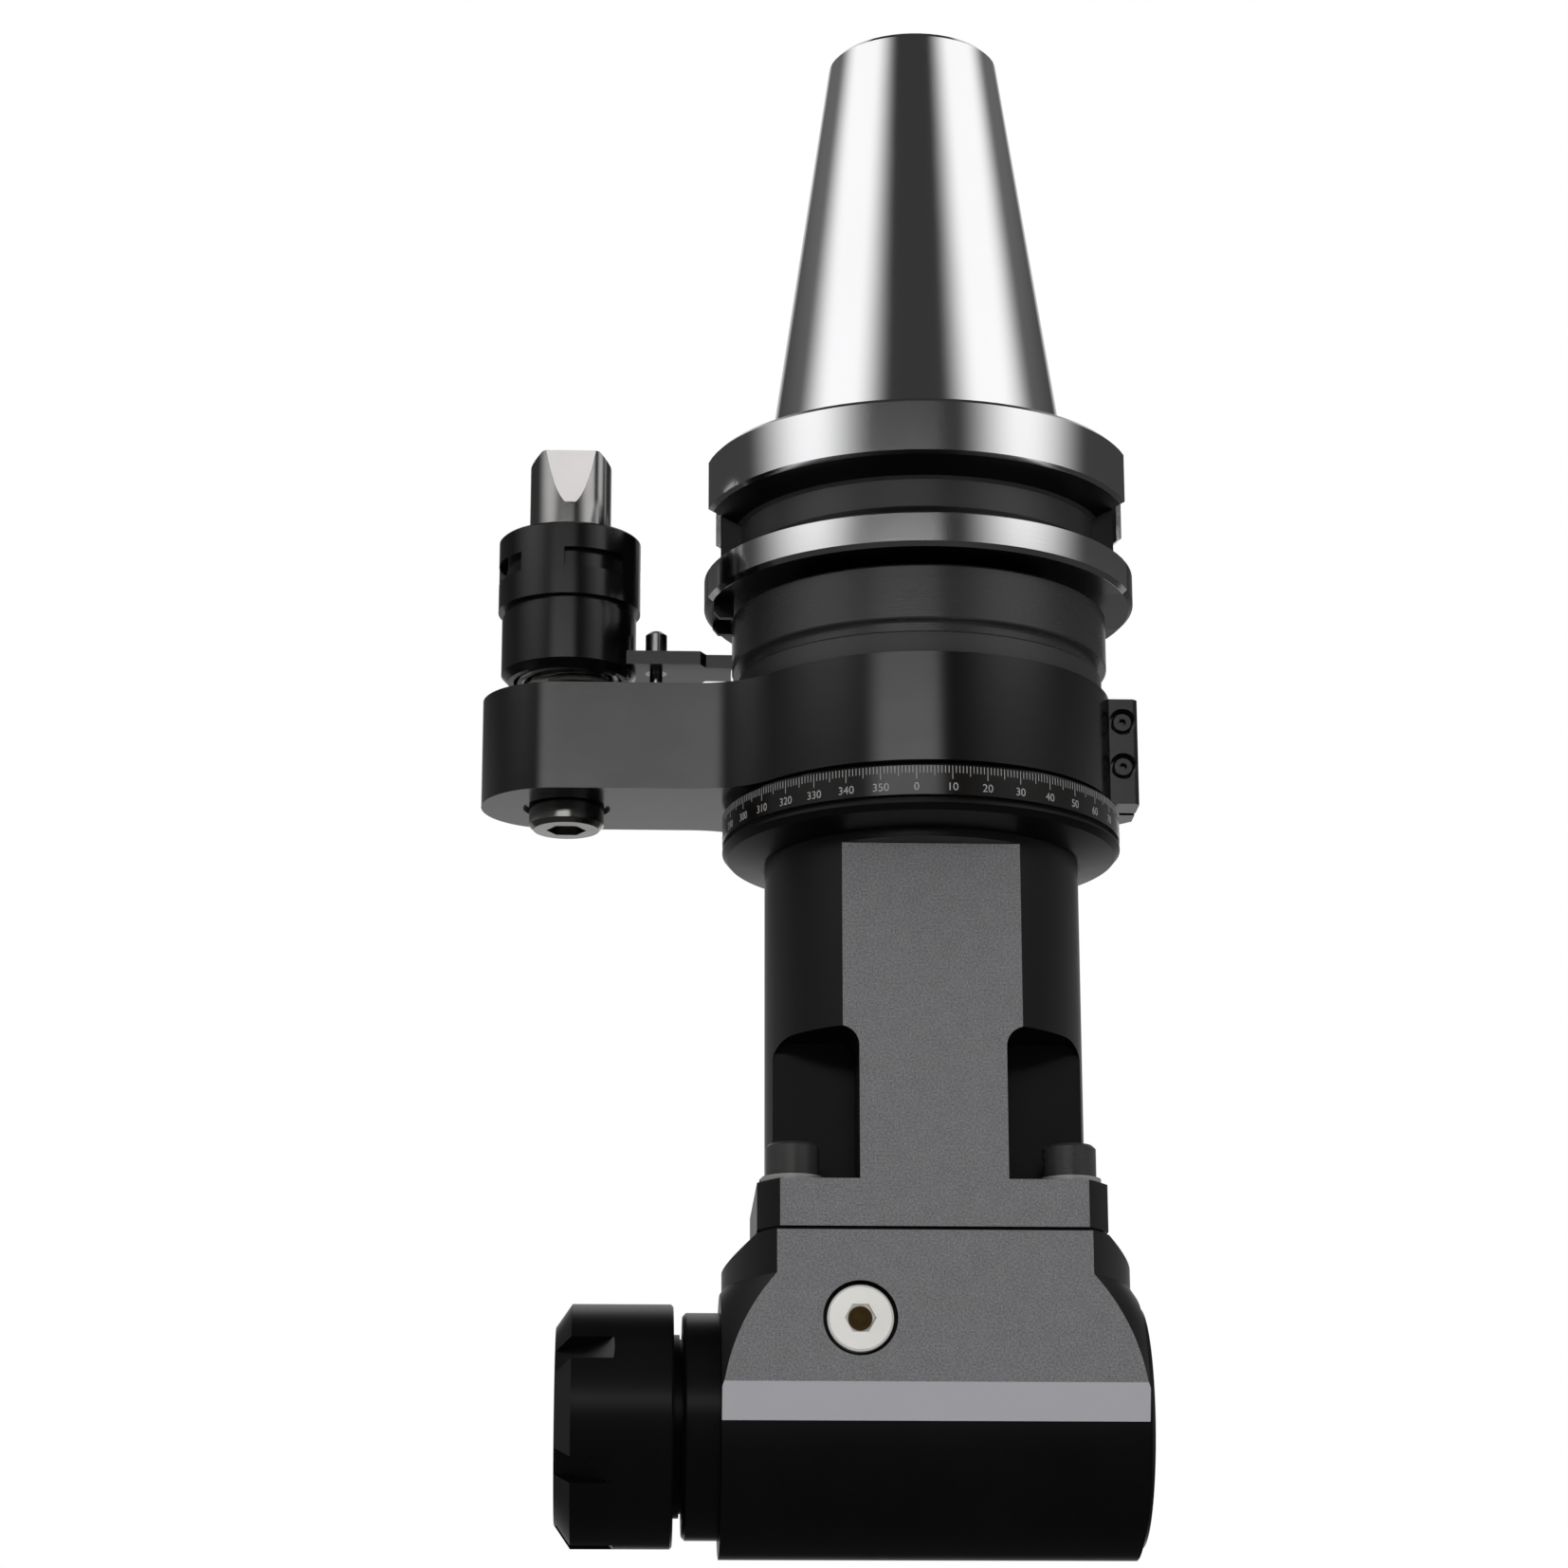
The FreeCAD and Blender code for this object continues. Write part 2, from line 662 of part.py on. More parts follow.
def input_bearings():
    top = S.upper_top
    low = top - S.upper_width
    place(turned("upper_inner_races", rect(S.upper_seat_rad, S.upper_seat_rad + 3.6, low, top)))
    place(turned("upper_outer_races", rect(S.upper_seat_rad + 7.8, 33.95, low, top)))
    base = S.axis_z + 29.4
    lower_top = base + S.lower_width
    place(turned("lower_inner_race",
                 rect(S.lower_seat_rad, S.lower_seat_rad + 3.2, base, lower_top)))
    place(turned("lower_outer_race",
                 rect(S.lower_out_rad - 3.1, S.lower_out_rad, base, lower_top)))
    rollers = []
    cages = []
    pitch = S.upper_seat_rad.value + 5.7
    for start in (low.value + 1.5, low.value + 13.5):
        rollers += roller_ring(pitch, 2.05, 9, start, 12)
        cages += cage_rings(pitch, 1.4, start - 0.9, start + 9.9)
    pitch = S.lower_seat_rad.value + 5.05
    start = base.value + 1.4
    rollers += roller_ring(pitch, 1.8, 7.2, start, 10)
    cages += cage_rings(pitch, 1.2, start - 0.9, start + 8.1)
    group("input_rollers", Part.makeCompound(rollers))
    group("input_cages", Part.makeCompound(cages))


def output_bearings():
    on_output(turned("front_inner_races", rect(S.front_seat_rad, 19.2, 30, 44)))
    on_output(turned("front_outer_races", rect(21.8, S.front_out_rad, 30, 44)))
    on_output(turned("rear_inner_race", rect(S.rear_seat_rad, 12, -43, -36)))
    on_output(turned("rear_outer_race", rect(16.5, S.rear_out_rad, -43, -36)))
    rollers = []
    cages = []
    for start in (31.4, 38.4):
        rollers += roller_ring(20.5, 1.25, 4.2, start, 12)
        cages += cage_rings(20.5, 0.8, start - 0.9, start + 5.1)
    rollers += roller_ring(14.25, 2.2, 4.2, -41.6, 10)
    cages += cage_rings(14.25, 1.3, -42.5, -36.5)
    group("output_rollers", Part.makeCompound(rollers), 0, 0, S.axis_z, TO_NOSE)
    group("output_cages", Part.makeCompound(cages), 0, 0, S.axis_z, TO_NOSE)


# The fixed housing, from the cover under the gripper flange to the head.

def top_cover():
    body = turned("top_cover", [
        (S.journal_rad + 0.3, S.cover_top), (S.cover_rad - 0.6, S.cover_top),
        (S.cover_rad, S.cover_top - 0.6), (S.cover_rad, S.cover_bottom + 0.3),
        (S.cover_rad - 0.3, S.cover_bottom), (S.cover_rad - 2, S.cover_bottom),
        (S.cover_rad - 2, S.split_z), (33.9, S.split_z), (33.9, S.upper_top), (30.8, S.upper_top),
        (30.8, S.split_z + 1.5), (33, S.split_z + 1.5), (33, S.split_z + 9.5),
        (S.journal_rad + 0.3, S.split_z + 9.5),
    ])
    holes = sketch_on(body, "XY_Plane", S.cover_top)
    disc(holes, 37.6, 0, 2.1)
    through = pocket(body, holes, 20)
    doc.recompute()
    polar(body, through, 6)
    seats = sketch_on(body, "XY_Plane", S.cover_top)
    disc(seats, 37.6, 0, 3.7)
    sink = pocket(body, seats, 4.4)
    doc.recompute()
    polar(body, sink, 6)
    place(body)


def cover_screws():
    screw = cap_screw(2, 15, 3.5, 4, 3)
    spots = []
    for index in range(6):
        angle = math.radians(60 * index)
        spots.append((37.6 * math.cos(angle), 37.6 * math.sin(angle), S.cover_top.value - 4.4))
    group("cover_screws", spread(screw, spots))


def shaft_seal():
    place(turned("shaft_seal", [
        (S.journal_rad + 0.05, -52), (S.journal_rad + 1.6, -53.6), (32.95, -53.6),
        (32.95, -46.2), (S.journal_rad + 1.6, -46.2), (S.journal_rad + 1.6, -51),
        (S.journal_rad + 0.05, -51.4),
    ]))


def neck_housing():
    """Collar, clamp ring seat, dial seat, flatted neck and joint flange in one piece."""
    body = new_body("neck_housing")
    low = S.upper_top - S.upper_width
    turn(body, [
        (34, S.split_z), (S.collar_rad - 0.4, S.split_z), (S.collar_rad, S.split_z - 0.4),
        (S.collar_rad, S.seat_top), (S.seat_rad, S.seat_top), (S.seat_rad, S.arm_bottom - 0.2),
        (S.dial_seat_rad, S.arm_bottom - 0.2), (S.dial_seat_rad, S.dial_bottom),
        (S.dial_rad - 1.2, S.dial_bottom), (S.dial_rad - 1.2, S.lip_top),
        (S.dial_rad, S.lip_top), (S.dial_rad, S.lip_bottom),
        (S.dial_rad - 1.2, S.lip_bottom - 1.4), (S.neck_rad + 0.7, S.shoulder_z),
        (S.neck_rad, S.shoulder_z), (S.neck_rad, S.foot_top), (60, S.foot_top),
        (60, S.foot_bottom), (14, S.foot_bottom), (14, -140), (20, -142), (20, -98),
        (30, -97), (30, low), (34, low),
    ])
    ends = sketch_on(body, "XY_Plane", S.foot_top)
    box_outline(ends, S.foot_half, -40, 70, 40)
    box_outline(ends, -70, -40, -S.foot_half, 40)
    pocket(body, ends, 20)
    turn(body, rect(S.foot_rad, 80, S.foot_bottom - 1, S.foot_top), cut=True)
    corners = sketch_on(body, "XZ_Plane", 60)
    rounded_pocket(corners, 1)
    rounded_pocket(corners, -1)
    front = pocket(body, corners, 60 - S.pocket_back)
    doc.recompute()
    both = mirror(body, [front], "XZ_Plane")

    def ceiling(middle, edge):
        at_wall = abs(abs(middle.x) - S.pocket_in.value) < 0.01
        return at_wall and abs(middle.z - S.pocket_top.value) < 0.01

    dress(body, "Fillet", both, ceiling, S.pocket_round)
    sides = sketch_on(body, "XY_Plane", S.flat_top)
    box_outline(sides, -70, S.face_half, 70, 70)
    box_outline(sides, -70, -70, 70, -S.face_half)
    pocket(body, sides, S.flat_top - S.foot_bottom + 5)
    holes = sketch_on(body, "XY_Plane", S.foot_top + 1)
    for x in (-S.bolt_x, S.bolt_x):
        for y in (-S.bolt_y, S.bolt_y):
            disc(holes, x, y, S.bolt_rad + 0.4)
    pocket(body, holes, 15)
    taps = sketch_on(body, "XY_Plane", S.split_z + 1)
    disc(taps, 37.6, 0, 2)
    tap = pocket(body, taps, 5.6)
    doc.recompute()
    polar(body, tap, 6)
    dowels = sketch_on(body, "XY_Plane", S.foot_bottom)
    disc(dowels, S.dowel_x, 0, 2.5)
    disc(dowels, -S.dowel_x, 0, 2.5)
    pocket(body, dowels, 6, flip=True)
    place(body)


def rounded_pocket(sketch, side):
    """Screw pocket seen from the front, with its outer upper corner rounded."""
    inner = side * S.pocket_in
    outer = side * S.pocket_out
    near = side * (S.pocket_out - S.pocket_round)
    spring_line = S.pocket_top - S.pocket_round
    corners = [(near, S.pocket_top), (inner, S.pocket_top), (inner, S.foot_top),
               (outer, S.foot_top), (outer, spring_line)]
    points = [Vector(x.value, z.value, 0) for x, z in corners]
    first = sketch.GeometryCount
    for index in range(4):
        sketch.addGeometry(Part.LineSegment(points[index], points[index + 1]), False)
    share = S.pocket_round.value * math.sqrt(0.5)
    middle = Vector(near.value + side * share, spring_line.value + share, 0)
    arc = sketch.addGeometry(Part.Arc(points[4], middle, points[0]), False)
    start, end = (1, 2) if side > 0 else (2, 1)
    for index in range(3):
        joint = Sketcher.Constraint("Coincident", first + index, 2, first + index + 1, 1)
        sketch.addConstraint(joint)
    sketch.addConstraint(Sketcher.Constraint("Coincident", first + 3, 2, arc, start))
    sketch.addConstraint(Sketcher.Constraint("Coincident", arc, end, first, 1))
    for index in range(4):
        pin_point(sketch, first + index, 1, *corners[index])
    pin_point(sketch, first + 3, 2, *corners[4])
    hold(sketch, "Radius", (arc,), S.pocket_round)


def index_dial():
    place(turned("index_dial", [
        (S.dial_seat_rad + 0.02, S.dial_bottom), (S.dial_rad, S.dial_bottom),
        (S.dial_rad, S.dial_top - 0.5), (S.dial_rad - 0.5, S.dial_top),
        (S.dial_seat_rad + 0.02, S.dial_top),
    ]))


def joint_shim():
    body = new_body("joint_shim")
    turn(body, rect(28, S.foot_rad - 0.8, S.head_top, S.foot_bottom))
    trim = sketch_on(body, "XY_Plane", S.foot_bottom + 1)
    inset = S.face_half - 1.2
    box_outline(trim, -70, inset, 70, 70)
    box_outline(trim, -70, -70, 70, -inset)
    pocket(body, trim, 5)
    ends = sketch_on(body, "XY_Plane", S.foot_bottom + 1)
    box_outline(ends, S.foot_half - 1.2, -40, 70, 40)
    box_outline(ends, -70, -40, 1.2 - S.foot_half, 40)
    pocket(body, ends, 5)
    holes = sketch_on(body, "XY_Plane", S.foot_bottom + 1)
    for x in (-S.bolt_x, S.bolt_x):
        for y in (-S.bolt_y, S.bolt_y):
            disc(holes, x, y, S.bolt_rad + 0.4)
    disc(holes, S.dowel_x, 0, 2.6)
    disc(holes, -S.dowel_x, 0, 2.6)
    pocket(body, holes, 5)
    place(body)


def joint_screws():
    spots = []
    for x in (-S.bolt_x.value, S.bolt_x.value):
        for y in (-S.bolt_y.value, S.bolt_y.value):
            spots.append((x, y, S.foot_top.value + 1.6))
    group("joint_screws", spread(cap_screw(4, 27, 5.9, 7.4, 6, 0.7), spots))
    washer = Part.makeCylinder(6.9, 1.6).cut(Part.makeCylinder(4.05, 1.6))
    spots = [(x, y, z - 1.6) for x, y, z in spots]
    group("screw_washers", spread(washer, spots))


def dowel_pins():
    pin = Part.makeCylinder(2.5, 11)
    far = S.dowel_x.value
    spots = [(far, 0, S.foot_bottom.value - 5.5), (-far, 0, S.foot_bottom.value - 5.5)]
    group("dowel_pins", spread(pin, spots))


def head_housing():
    """Block with flat sides, a round belly and turned shoulders, bored along both axes."""
    body = new_body("head_housing")
    block = sketch_on(body, "YZ_Plane")
    top = S.head_top
    face = S.face_half
    belly = S.belly_rad
    start = 1.2
    low_y = belly.value * math.cos(math.radians(start))
    low_z = S.belly_z.value - belly.value * math.sin(math.radians(start))
    corners = [(-low_y, low_z), (-face.value, S.facet_top.value), (-face.value, top.value),
               (face.value, top.value), (face.value, S.facet_top.value), (low_y, low_z)]
    points = [Vector(y, z, 0) for y, z in corners]
    for index in range(5):
        block.addGeometry(Part.LineSegment(points[index], points[index + 1]), False)
    bottom = Vector(0, S.belly_z.value - belly.value, 0)
    block.addGeometry(Part.Arc(points[0], bottom, points[5]), False)
    for index in range(4):
        block.addConstraint(Sketcher.Constraint("Coincident", index, 2, index + 1, 1))
    block.addConstraint(Sketcher.Constraint("Coincident", 4, 2, 5, 2))
    block.addConstraint(Sketcher.Constraint("Coincident", 0, 1, 5, 1))
    hold(block, "Radius", (5,), belly)
    pin_point(block, 5, 3, as_dim(0), S.belly_z)
    pin_point(block, 0, 2, -face, S.facet_top)
    pin_point(block, 1, 2, -face, top)
    pin_point(block, 2, 2, face, top)
    pin_point(block, 3, 2, face, S.facet_top)
    hold(block, "DistanceY", (-1, 1, 0, 1), as_dim(low_z))
    hold(block, "DistanceY", (-1, 1, 4, 2), as_dim(low_z))
    pad(body, block, S.head_half * 2, both=True)

    shoulder = sketch_on(body, "XZ_Plane")
    meet = math.sqrt(S.ball_rad.value ** 2 - S.head_rad.value ** 2)
    join = Vector(S.head_rad.value, S.belly_z.value + meet, 0)
    middle = S.ball_rad.value * Vector(math.cos(0.35), math.sin(0.35), 0)
    middle.y += S.belly_z.value
    equator = Vector(S.ball_rad.value, S.belly_z.value, 0)
    outline = [join, Vector(S.head_rad.value, top.value + 2, 0), Vector(90, top.value + 2, 0),
               Vector(90, S.belly_z.value, 0), equator]
    for index in range(4):
        shoulder.addGeometry(Part.LineSegment(outline[index], outline[index + 1]), False)
    shoulder.addGeometry(Part.Arc(equator, middle, join), False)
    for index in range(3):
        shoulder.addConstraint(Sketcher.Constraint("Coincident", index, 2, index + 1, 1))
    shoulder.addConstraint(Sketcher.Constraint("Coincident", 3, 2, 4, 1))
    shoulder.addConstraint(Sketcher.Constraint("Coincident", 4, 2, 0, 1))
    hold(shoulder, "Radius", (4,), S.ball_rad)
    pin_point(shoulder, 4, 3, as_dim(0), S.belly_z)
    pin_point(shoulder, 0, 2, S.head_rad, top + 2)
    pin_point(shoulder, 1, 2, as_dim(90), top + 2)
    pin_point(shoulder, 2, 2, as_dim(90), S.belly_z)
    hold(shoulder, "DistanceY", (-1, 1, 3, 2), S.belly_z)
    hold(shoulder, "DistanceX", (-1, 1, 0, 1), S.head_rad)
    groove = body.newObject("PartDesign::Groove", "head_housing_shoulder")
    groove.Profile = shoulder
    groove.ReferenceAxis = (shoulder, ["V_Axis"])
    groove.Angle = 360

    bevels = sketch_on(body, "XZ_Plane")
    foot = S.foot_half
    polygon(bevels, [(foot, top + 1), (foot, top), (S.head_half, top - 5.4), (70, top - 5.4),
                     (70, top + 1)])
    polygon(bevels, [(-foot, top + 1), (-70, top + 1), (-70, top - 5.4),
                     (-S.head_half, top - 5.4), (-foot, top)])
    pocket(body, bevels, 120, both=True)

    turn(body, [(0, S.axis_z), (S.cavity_rad, S.axis_z), (S.cavity_rad, S.axis_z + 29.4),
                (S.lower_out_rad + 0.02, S.axis_z + 29.4),
                (S.lower_out_rad + 0.02, top + 1), (0, top + 1)], cut=True)

    bore = sketch_on(body, "XZ_Plane")
    axis = S.axis_z
    front = S.front_out_rad + 0.02
    polygon(bore, [
        (-50, axis), (-50, axis + front), (-30, axis + front), (-30, axis + 19.5),
        (-26, axis + 19.5), (-26, axis + S.cavity_rad), (50, axis + S.cavity_rad), (50, axis),
    ])
    line = bore.addGeometry(Part.LineSegment(Vector(-50, axis.value, 0),
                                             Vector(50, axis.value, 0)), True)
    bore.addConstraint(Sketcher.Constraint("Coincident", line, 1, 0, 1))
    bore.addConstraint(Sketcher.Constraint("Coincident", line, 2, 7, 1))
    drilled = body.newObject("PartDesign::Groove", "head_housing_bore")
    drilled.Profile = bore
    drilled.ReferenceAxis = (bore, ["Axis0"])
    drilled.Angle = 360

    taps = sketch_on(body, "XY_Plane", top + 1)
    for x in (-S.bolt_x, S.bolt_x):
        for y in (-S.bolt_y, S.bolt_y):
            disc(taps, x, y, S.bolt_rad)
    pocket(body, taps, 17)
    dowels = sketch_on(body, "XY_Plane", top + 1)
    disc(dowels, S.dowel_x, 0, 2.5)
    disc(dowels, -S.dowel_x, 0, 2.5)
    pocket(body, dowels, 7)
    drill_plug_hole(body)
    place(body)


def drill_plug_hole(body):
    """Counterbore and thread for the grease plug in the front flat."""
    sink = sketch_on(body, "XZ_Plane", S.face_half + 1)
    disc(sink, -16.3, -206.8, 8.1)
    pocket(body, sink, 4.2)
    hole = sketch_on(body, "XZ_Plane", S.face_half + 1)
    disc(hole, -16.3, -206.8, 4)
    pocket(body, hole, 13)


def grease_plug():
    facing = Rotation(Vector(1, 0, 0), 90)
    plug = cap_screw(4, 6, 7.2, 3, 6, 0.5)
    group("grease_plug", plug, -16.3, -S.face_half + 3.2, -206.8, facing)
    seat = Part.makeCylinder(2.6, 0.9).fuse(Part.makeCone(1.6, 0.9, 0.9, Vector(0, 0, 0.9)))
    group("plug_core", seat, -16.3, -S.face_half + 2, -206.8, facing)


# The output spindle. Heights run towards the nose from the crossing point.

def output_spindle():
    """Collet spindle with a nut thread, two bearing seats and a shoulder for the gear."""
    depth = 36
    slope = math.tan(math.radians(8))
    body = turned("output_spindle", [
        (0, 30), (8.6, 32), (8.6, S.spindle_end - depth),
        (S.mouth_rad - depth * slope, S.spindle_end - depth), (S.mouth_rad, S.spindle_end),
        (S.thread_rad - 1, S.spindle_end), (S.thread_rad, S.spindle_end - 1),
        (S.thread_rad, S.nose_end + 0.6), (S.thread_rad - 1, S.nose_end + 0.6),
        (S.thread_rad - 1, 44), (S.front_seat_rad, 44), (S.front_seat_rad, 29.8),
        (16, 29.8), (16, 21), (12, 18.5), (12, -15.5), (13.5, -15.5),
        (13.5, -17.6), (12, -17.6), (12, -33), (S.rear_seat_rad, -33), (S.rear_seat_rad, -43),
        (9, -43.4), (9, -44.8), (0, -44.8),
    ])
    place_gear_key(body)
    on_output(body)


def place_gear_key(body):
    key = sketch_on(body, "XZ_Plane")
    box_outline(key, -(S.stem_rad + 3), -32.05, -(S.stem_rad - 2.6), -18.1)
    pocket(body, key, 5, both=True)


def collet():
    """Slit collet with a steep front cone, an ejector groove and a plain tool bore."""
    slope = math.tan(math.radians(8))
    face = S.spindle_end + 3.2
    body = turned("collet", [
        (S.tool_rad, S.spindle_end - 34), (S.mouth_rad - 34 * slope - 0.02, S.spindle_end - 34),
        (S.mouth_rad - 3 * slope - 0.02, S.spindle_end - 3),
        (S.mouth_rad - 1.8, S.spindle_end - 3), (S.mouth_rad - 1.8, S.spindle_end - 0.5),
        (S.mouth_rad - 0.3, S.spindle_end - 0.5), (S.mouth_rad - 0.3, S.spindle_end),
        (S.mouth_rad - 2.1, face), (S.tool_rad, face),
    ])
    slit = sketch_on(body, "XY_Plane", face + 1)
    box_outline(slit, 5, -0.5, 25, 0.5)
    cut = pocket(body, slit, 30)
    doc.recompute()
    polar(body, cut, 8)
    on_output(body)


def collet_nut():
    """Round nut with a front bevel and six spanner slots that run out in a scoop."""
    bevel = 3.6
    body = turned("collet_nut", [
        (S.thread_rad + 0.05, S.nut_back), (S.nut_rad - 0.5, S.nut_back),
        (S.nut_rad, S.nut_back + 0.5), (S.nut_rad, S.nut_front - bevel),
        (S.nut_rad - 5.2, S.nut_front), (15.2, S.nut_front), (15.2, S.spindle_end + 3.4),
        (S.mouth_rad + 0.3, S.spindle_end + 0.6), (S.thread_rad + 0.05, S.spindle_end + 0.6),
    ])
    reach = 33.0
    slot = sketch_on(body, "XZ_Plane")
    disc(slot, S.nut_rad + reach - 5.6, S.nut_front + 5.4, reach)
    cut = pocket(body, slot, 6, both=True)
    doc.recompute()
    polar(body, cut, 6)
    place(body, 0, 0, S.axis_z, Rotation(Vector(1, 0, 0), -3).multiply(TO_NOSE))


def nose_collar():
    on_output(turned("nose_collar", [
        (S.thread_rad - 0.7, 44.6), (S.front_out_rad, 44.6), (S.front_out_rad, 46.1),
        (S.nose_rad, 46.1), (S.nose_rad, S.nose_end - 0.8), (S.nose_rad - 0.8, S.nose_end),
        (S.thread_rad + 0.35, S.nose_end), (S.thread_rad + 0.35, 52.4), (22.4, 52.4),
        (22.4, 47.6), (S.thread_rad - 0.7, 47.6),
    ]))
    on_output(turned("nose_seal", [
        (S.thread_rad - 0.95, 50), (S.thread_rad + 0.6, 47.8), (22.35, 47.8), (22.35, 52.2),
        (S.thread_rad + 0.6, 52.2), (S.thread_rad + 0.6, 51), (S.thread_rad - 0.95, 50.6),
    ]))


def rear_cover():
    """Screwed-in cap that holds the rear bearing, with four spanner holes."""
    rim = S.cavity_rad
    body = turned("rear_cover", [
        (0, -47.3), (26.2, -47.3), (27, -46.5), (27, -46.1), (rim - 0.02, -46.1),
        (rim - 0.02, -34.5), (S.rear_out_rad + 0.02, -34.5), (S.rear_out_rad + 0.02, -43.2),
        (15.5, -43.2), (15.5, -45.2), (0, -45.2),
    ])
    holes = sketch_on(body, "XY_Plane", -48)
    disc(holes, 21.5, 0, 1.8)
    cut = pocket(body, holes, 5, flip=True)
    doc.recompute()
    polar(body, cut, 4)
    on_output(body)


# The arm that stops the housing from turning.

def stop_arm():
    body = new_body("stop_arm")
    height = S.arm_top - S.arm_bottom
    ring = sketch_on(body, "XY_Plane", S.arm_bottom)
    disc(ring, 0, 0, S.ring_rad)
    pad(body, ring, height)
    bar = sketch_on(body, "XY_Plane", S.arm_bottom)
    box_outline(bar, -S.pin_x, -S.arm_half, -10, S.arm_half)
    pad(body, bar, height)
    end = sketch_on(body, "XY_Plane", S.arm_bottom)
    disc(end, -(S.pin_x + 1.6), 0, S.arm_half)
    joined = pad(body, end, height)

    def corner(middle, edge):
        upright = abs(edge.tangentAt(edge.FirstParameter).z) > 0.99
        return upright and abs(abs(middle.y) - S.arm_half.value) < 0.1 and middle.x > -60

    dress(body, "Fillet", joined, corner, S.blend_rad)
    lug = sketch_on(body, "XY_Plane", S.arm_bottom)
    half = S.lug_half
    polygon(lug, [(30, -half), (S.lug_end - 1, -half), (S.lug_end, 1 - half),
                  (S.lug_end, half - 2.5), (S.lug_end - 2.5, half), (30, half)])
    pad(body, lug, height)
    bore = sketch_on(body, "XY_Plane", S.arm_top + 1)
    disc(bore, 0, 0, S.ring_bore)
    pocket(body, bore, height + 2)
    slit = sketch_on(body, "XY_Plane", S.arm_top + 1)
    box_outline(slit, 30, -1, 60, 1)
    pocket(body, slit, height + 2)
    holes = sketch_on(body, "XY_Plane", S.arm_top + 1)
    disc(holes, -S.pin_x, 0, 7)
    pocket(body, holes, height + 2)
    blind = sketch_on(body, "XY_Plane", S.arm_top + 1)
    disc(blind, -S.guide_x, 0, S.guide_stem + 0.05)
    pocket(body, blind, S.arm_top + 1 - S.guide_low + 5)
    for height_of_screw in (S.clamp_screw_z, S.clamp_screw_z - S.clamp_screw_gap):
        sink = sketch_on(body, "XZ_Plane", half + 1)
        disc(sink, 46.2, height_of_screw, 3.1)
        pocket(body, sink, 4)
        hole = sketch_on(body, "XZ_Plane", half + 1)
        disc(hole, 46.2, height_of_screw, 2)
        pocket(body, hole, 16)
    sunk = sketch_on(body, "XY_Plane", S.arm_bottom - 1)
    disc(sunk, -S.pin_x, 0, 10)
    pocket(body, sunk, 1.8, flip=True)
    place(body)


def clamp_screws():
    facing = Rotation(Vector(1, 0, 0), 90)
    screw = cap_screw(2, 11, 2.4, 2.4, 1.6)
    upper = S.clamp_screw_z.value
    lower = upper - S.clamp_screw_gap.value
    spots = [(46.2, 3 - S.lug_half.value, upper), (46.2, 3 - S.lug_half.value, lower)]
    group("clamp_screws", spread(screw, spots, facing))


def stop_pin():
    """Ground pin with two side bevels, a long front facet, a relief and a stroke slot."""
    relief = S.collar_top + 0.2
    body = turned("stop_pin", [
        (0, S.arm_bottom + 5), (5.2, S.arm_bottom + 2), (7, S.arm_bottom + 2), (7, S.arm_top),
        (S.pin_rad, S.arm_top), (S.pin_rad, relief - 1.2), (S.pin_rad - 0.4, relief - 1),
        (S.pin_rad - 0.4, relief), (S.pin_rad, relief), (S.pin_rad, S.pin_top), (0, S.pin_top),
    ])
    top = S.pin_top
    facet = sketch_on(body, "YZ_Plane")
    polygon(facet, [(-7.57, top + 1), (-7.57, top), (-S.pin_rad, top - 13.6),
                    (-S.pin_rad - 5, top - 13.6), (-S.pin_rad - 5, top + 1)])
    pocket(body, facet, 40, both=True)
    bevels = sketch_on(body, "XZ_Plane")
    outer = S.pin_rad
    polygon(bevels, [(outer - 2.8, top), (outer - 2.8, top + 1), (outer + 2, top + 1),
                     (outer + 2, top - 2.3), (outer, top - 2.3)])
    polygon(bevels, [(2.8 - outer, top), (-outer, top - 2.3), (-outer - 2, top - 2.3),
                     (-outer - 2, top + 1), (2.8 - outer, top + 1)])
    pocket(body, bevels, 40, both=True)
    slot = sketch_on(body, "YZ_Plane")
    box_outline(slot, S.pin_rad - 1.8, -48.4, S.pin_rad + 3, -30.2)
    pocket(body, slot, 3.2, both=True)
    thread = sketch_on(body, "XY_Plane", S.arm_bottom + 2)
    disc(thread, 0, 0, 5.2)
    pocket(body, thread, 19, flip=True)
    place(body, -S.pin_x, 0, 0)


def pin_bolt():
    bolt = cap_screw(5.2, 20, 8.6, 5.9, 8, 1.1)
    flipped = Rotation(Vector(1, 0, 0), 180)
    group("pin_bolt", bolt, -S.pin_x, 0, S.arm_bottom + 0.7, flipped)


def guide_pin():
    """Headed pin fixed in the latch plate. Its stem slides in a blind hole of the arm."""
    place(turned("guide_pin", [
        (0, S.guide_low), (S.guide_stem - 0.4, S.guide_low), (S.guide_stem, S.guide_low + 0.4),
        (S.guide_stem, S.latch_top - S.latch_thick), (S.guide_rad, S.latch_top - S.latch_thick),
        (S.guide_rad, -44), (S.guide_rad - 1, -43.2), (0, -43.2),
    ]), -S.guide_x, 0, 0)


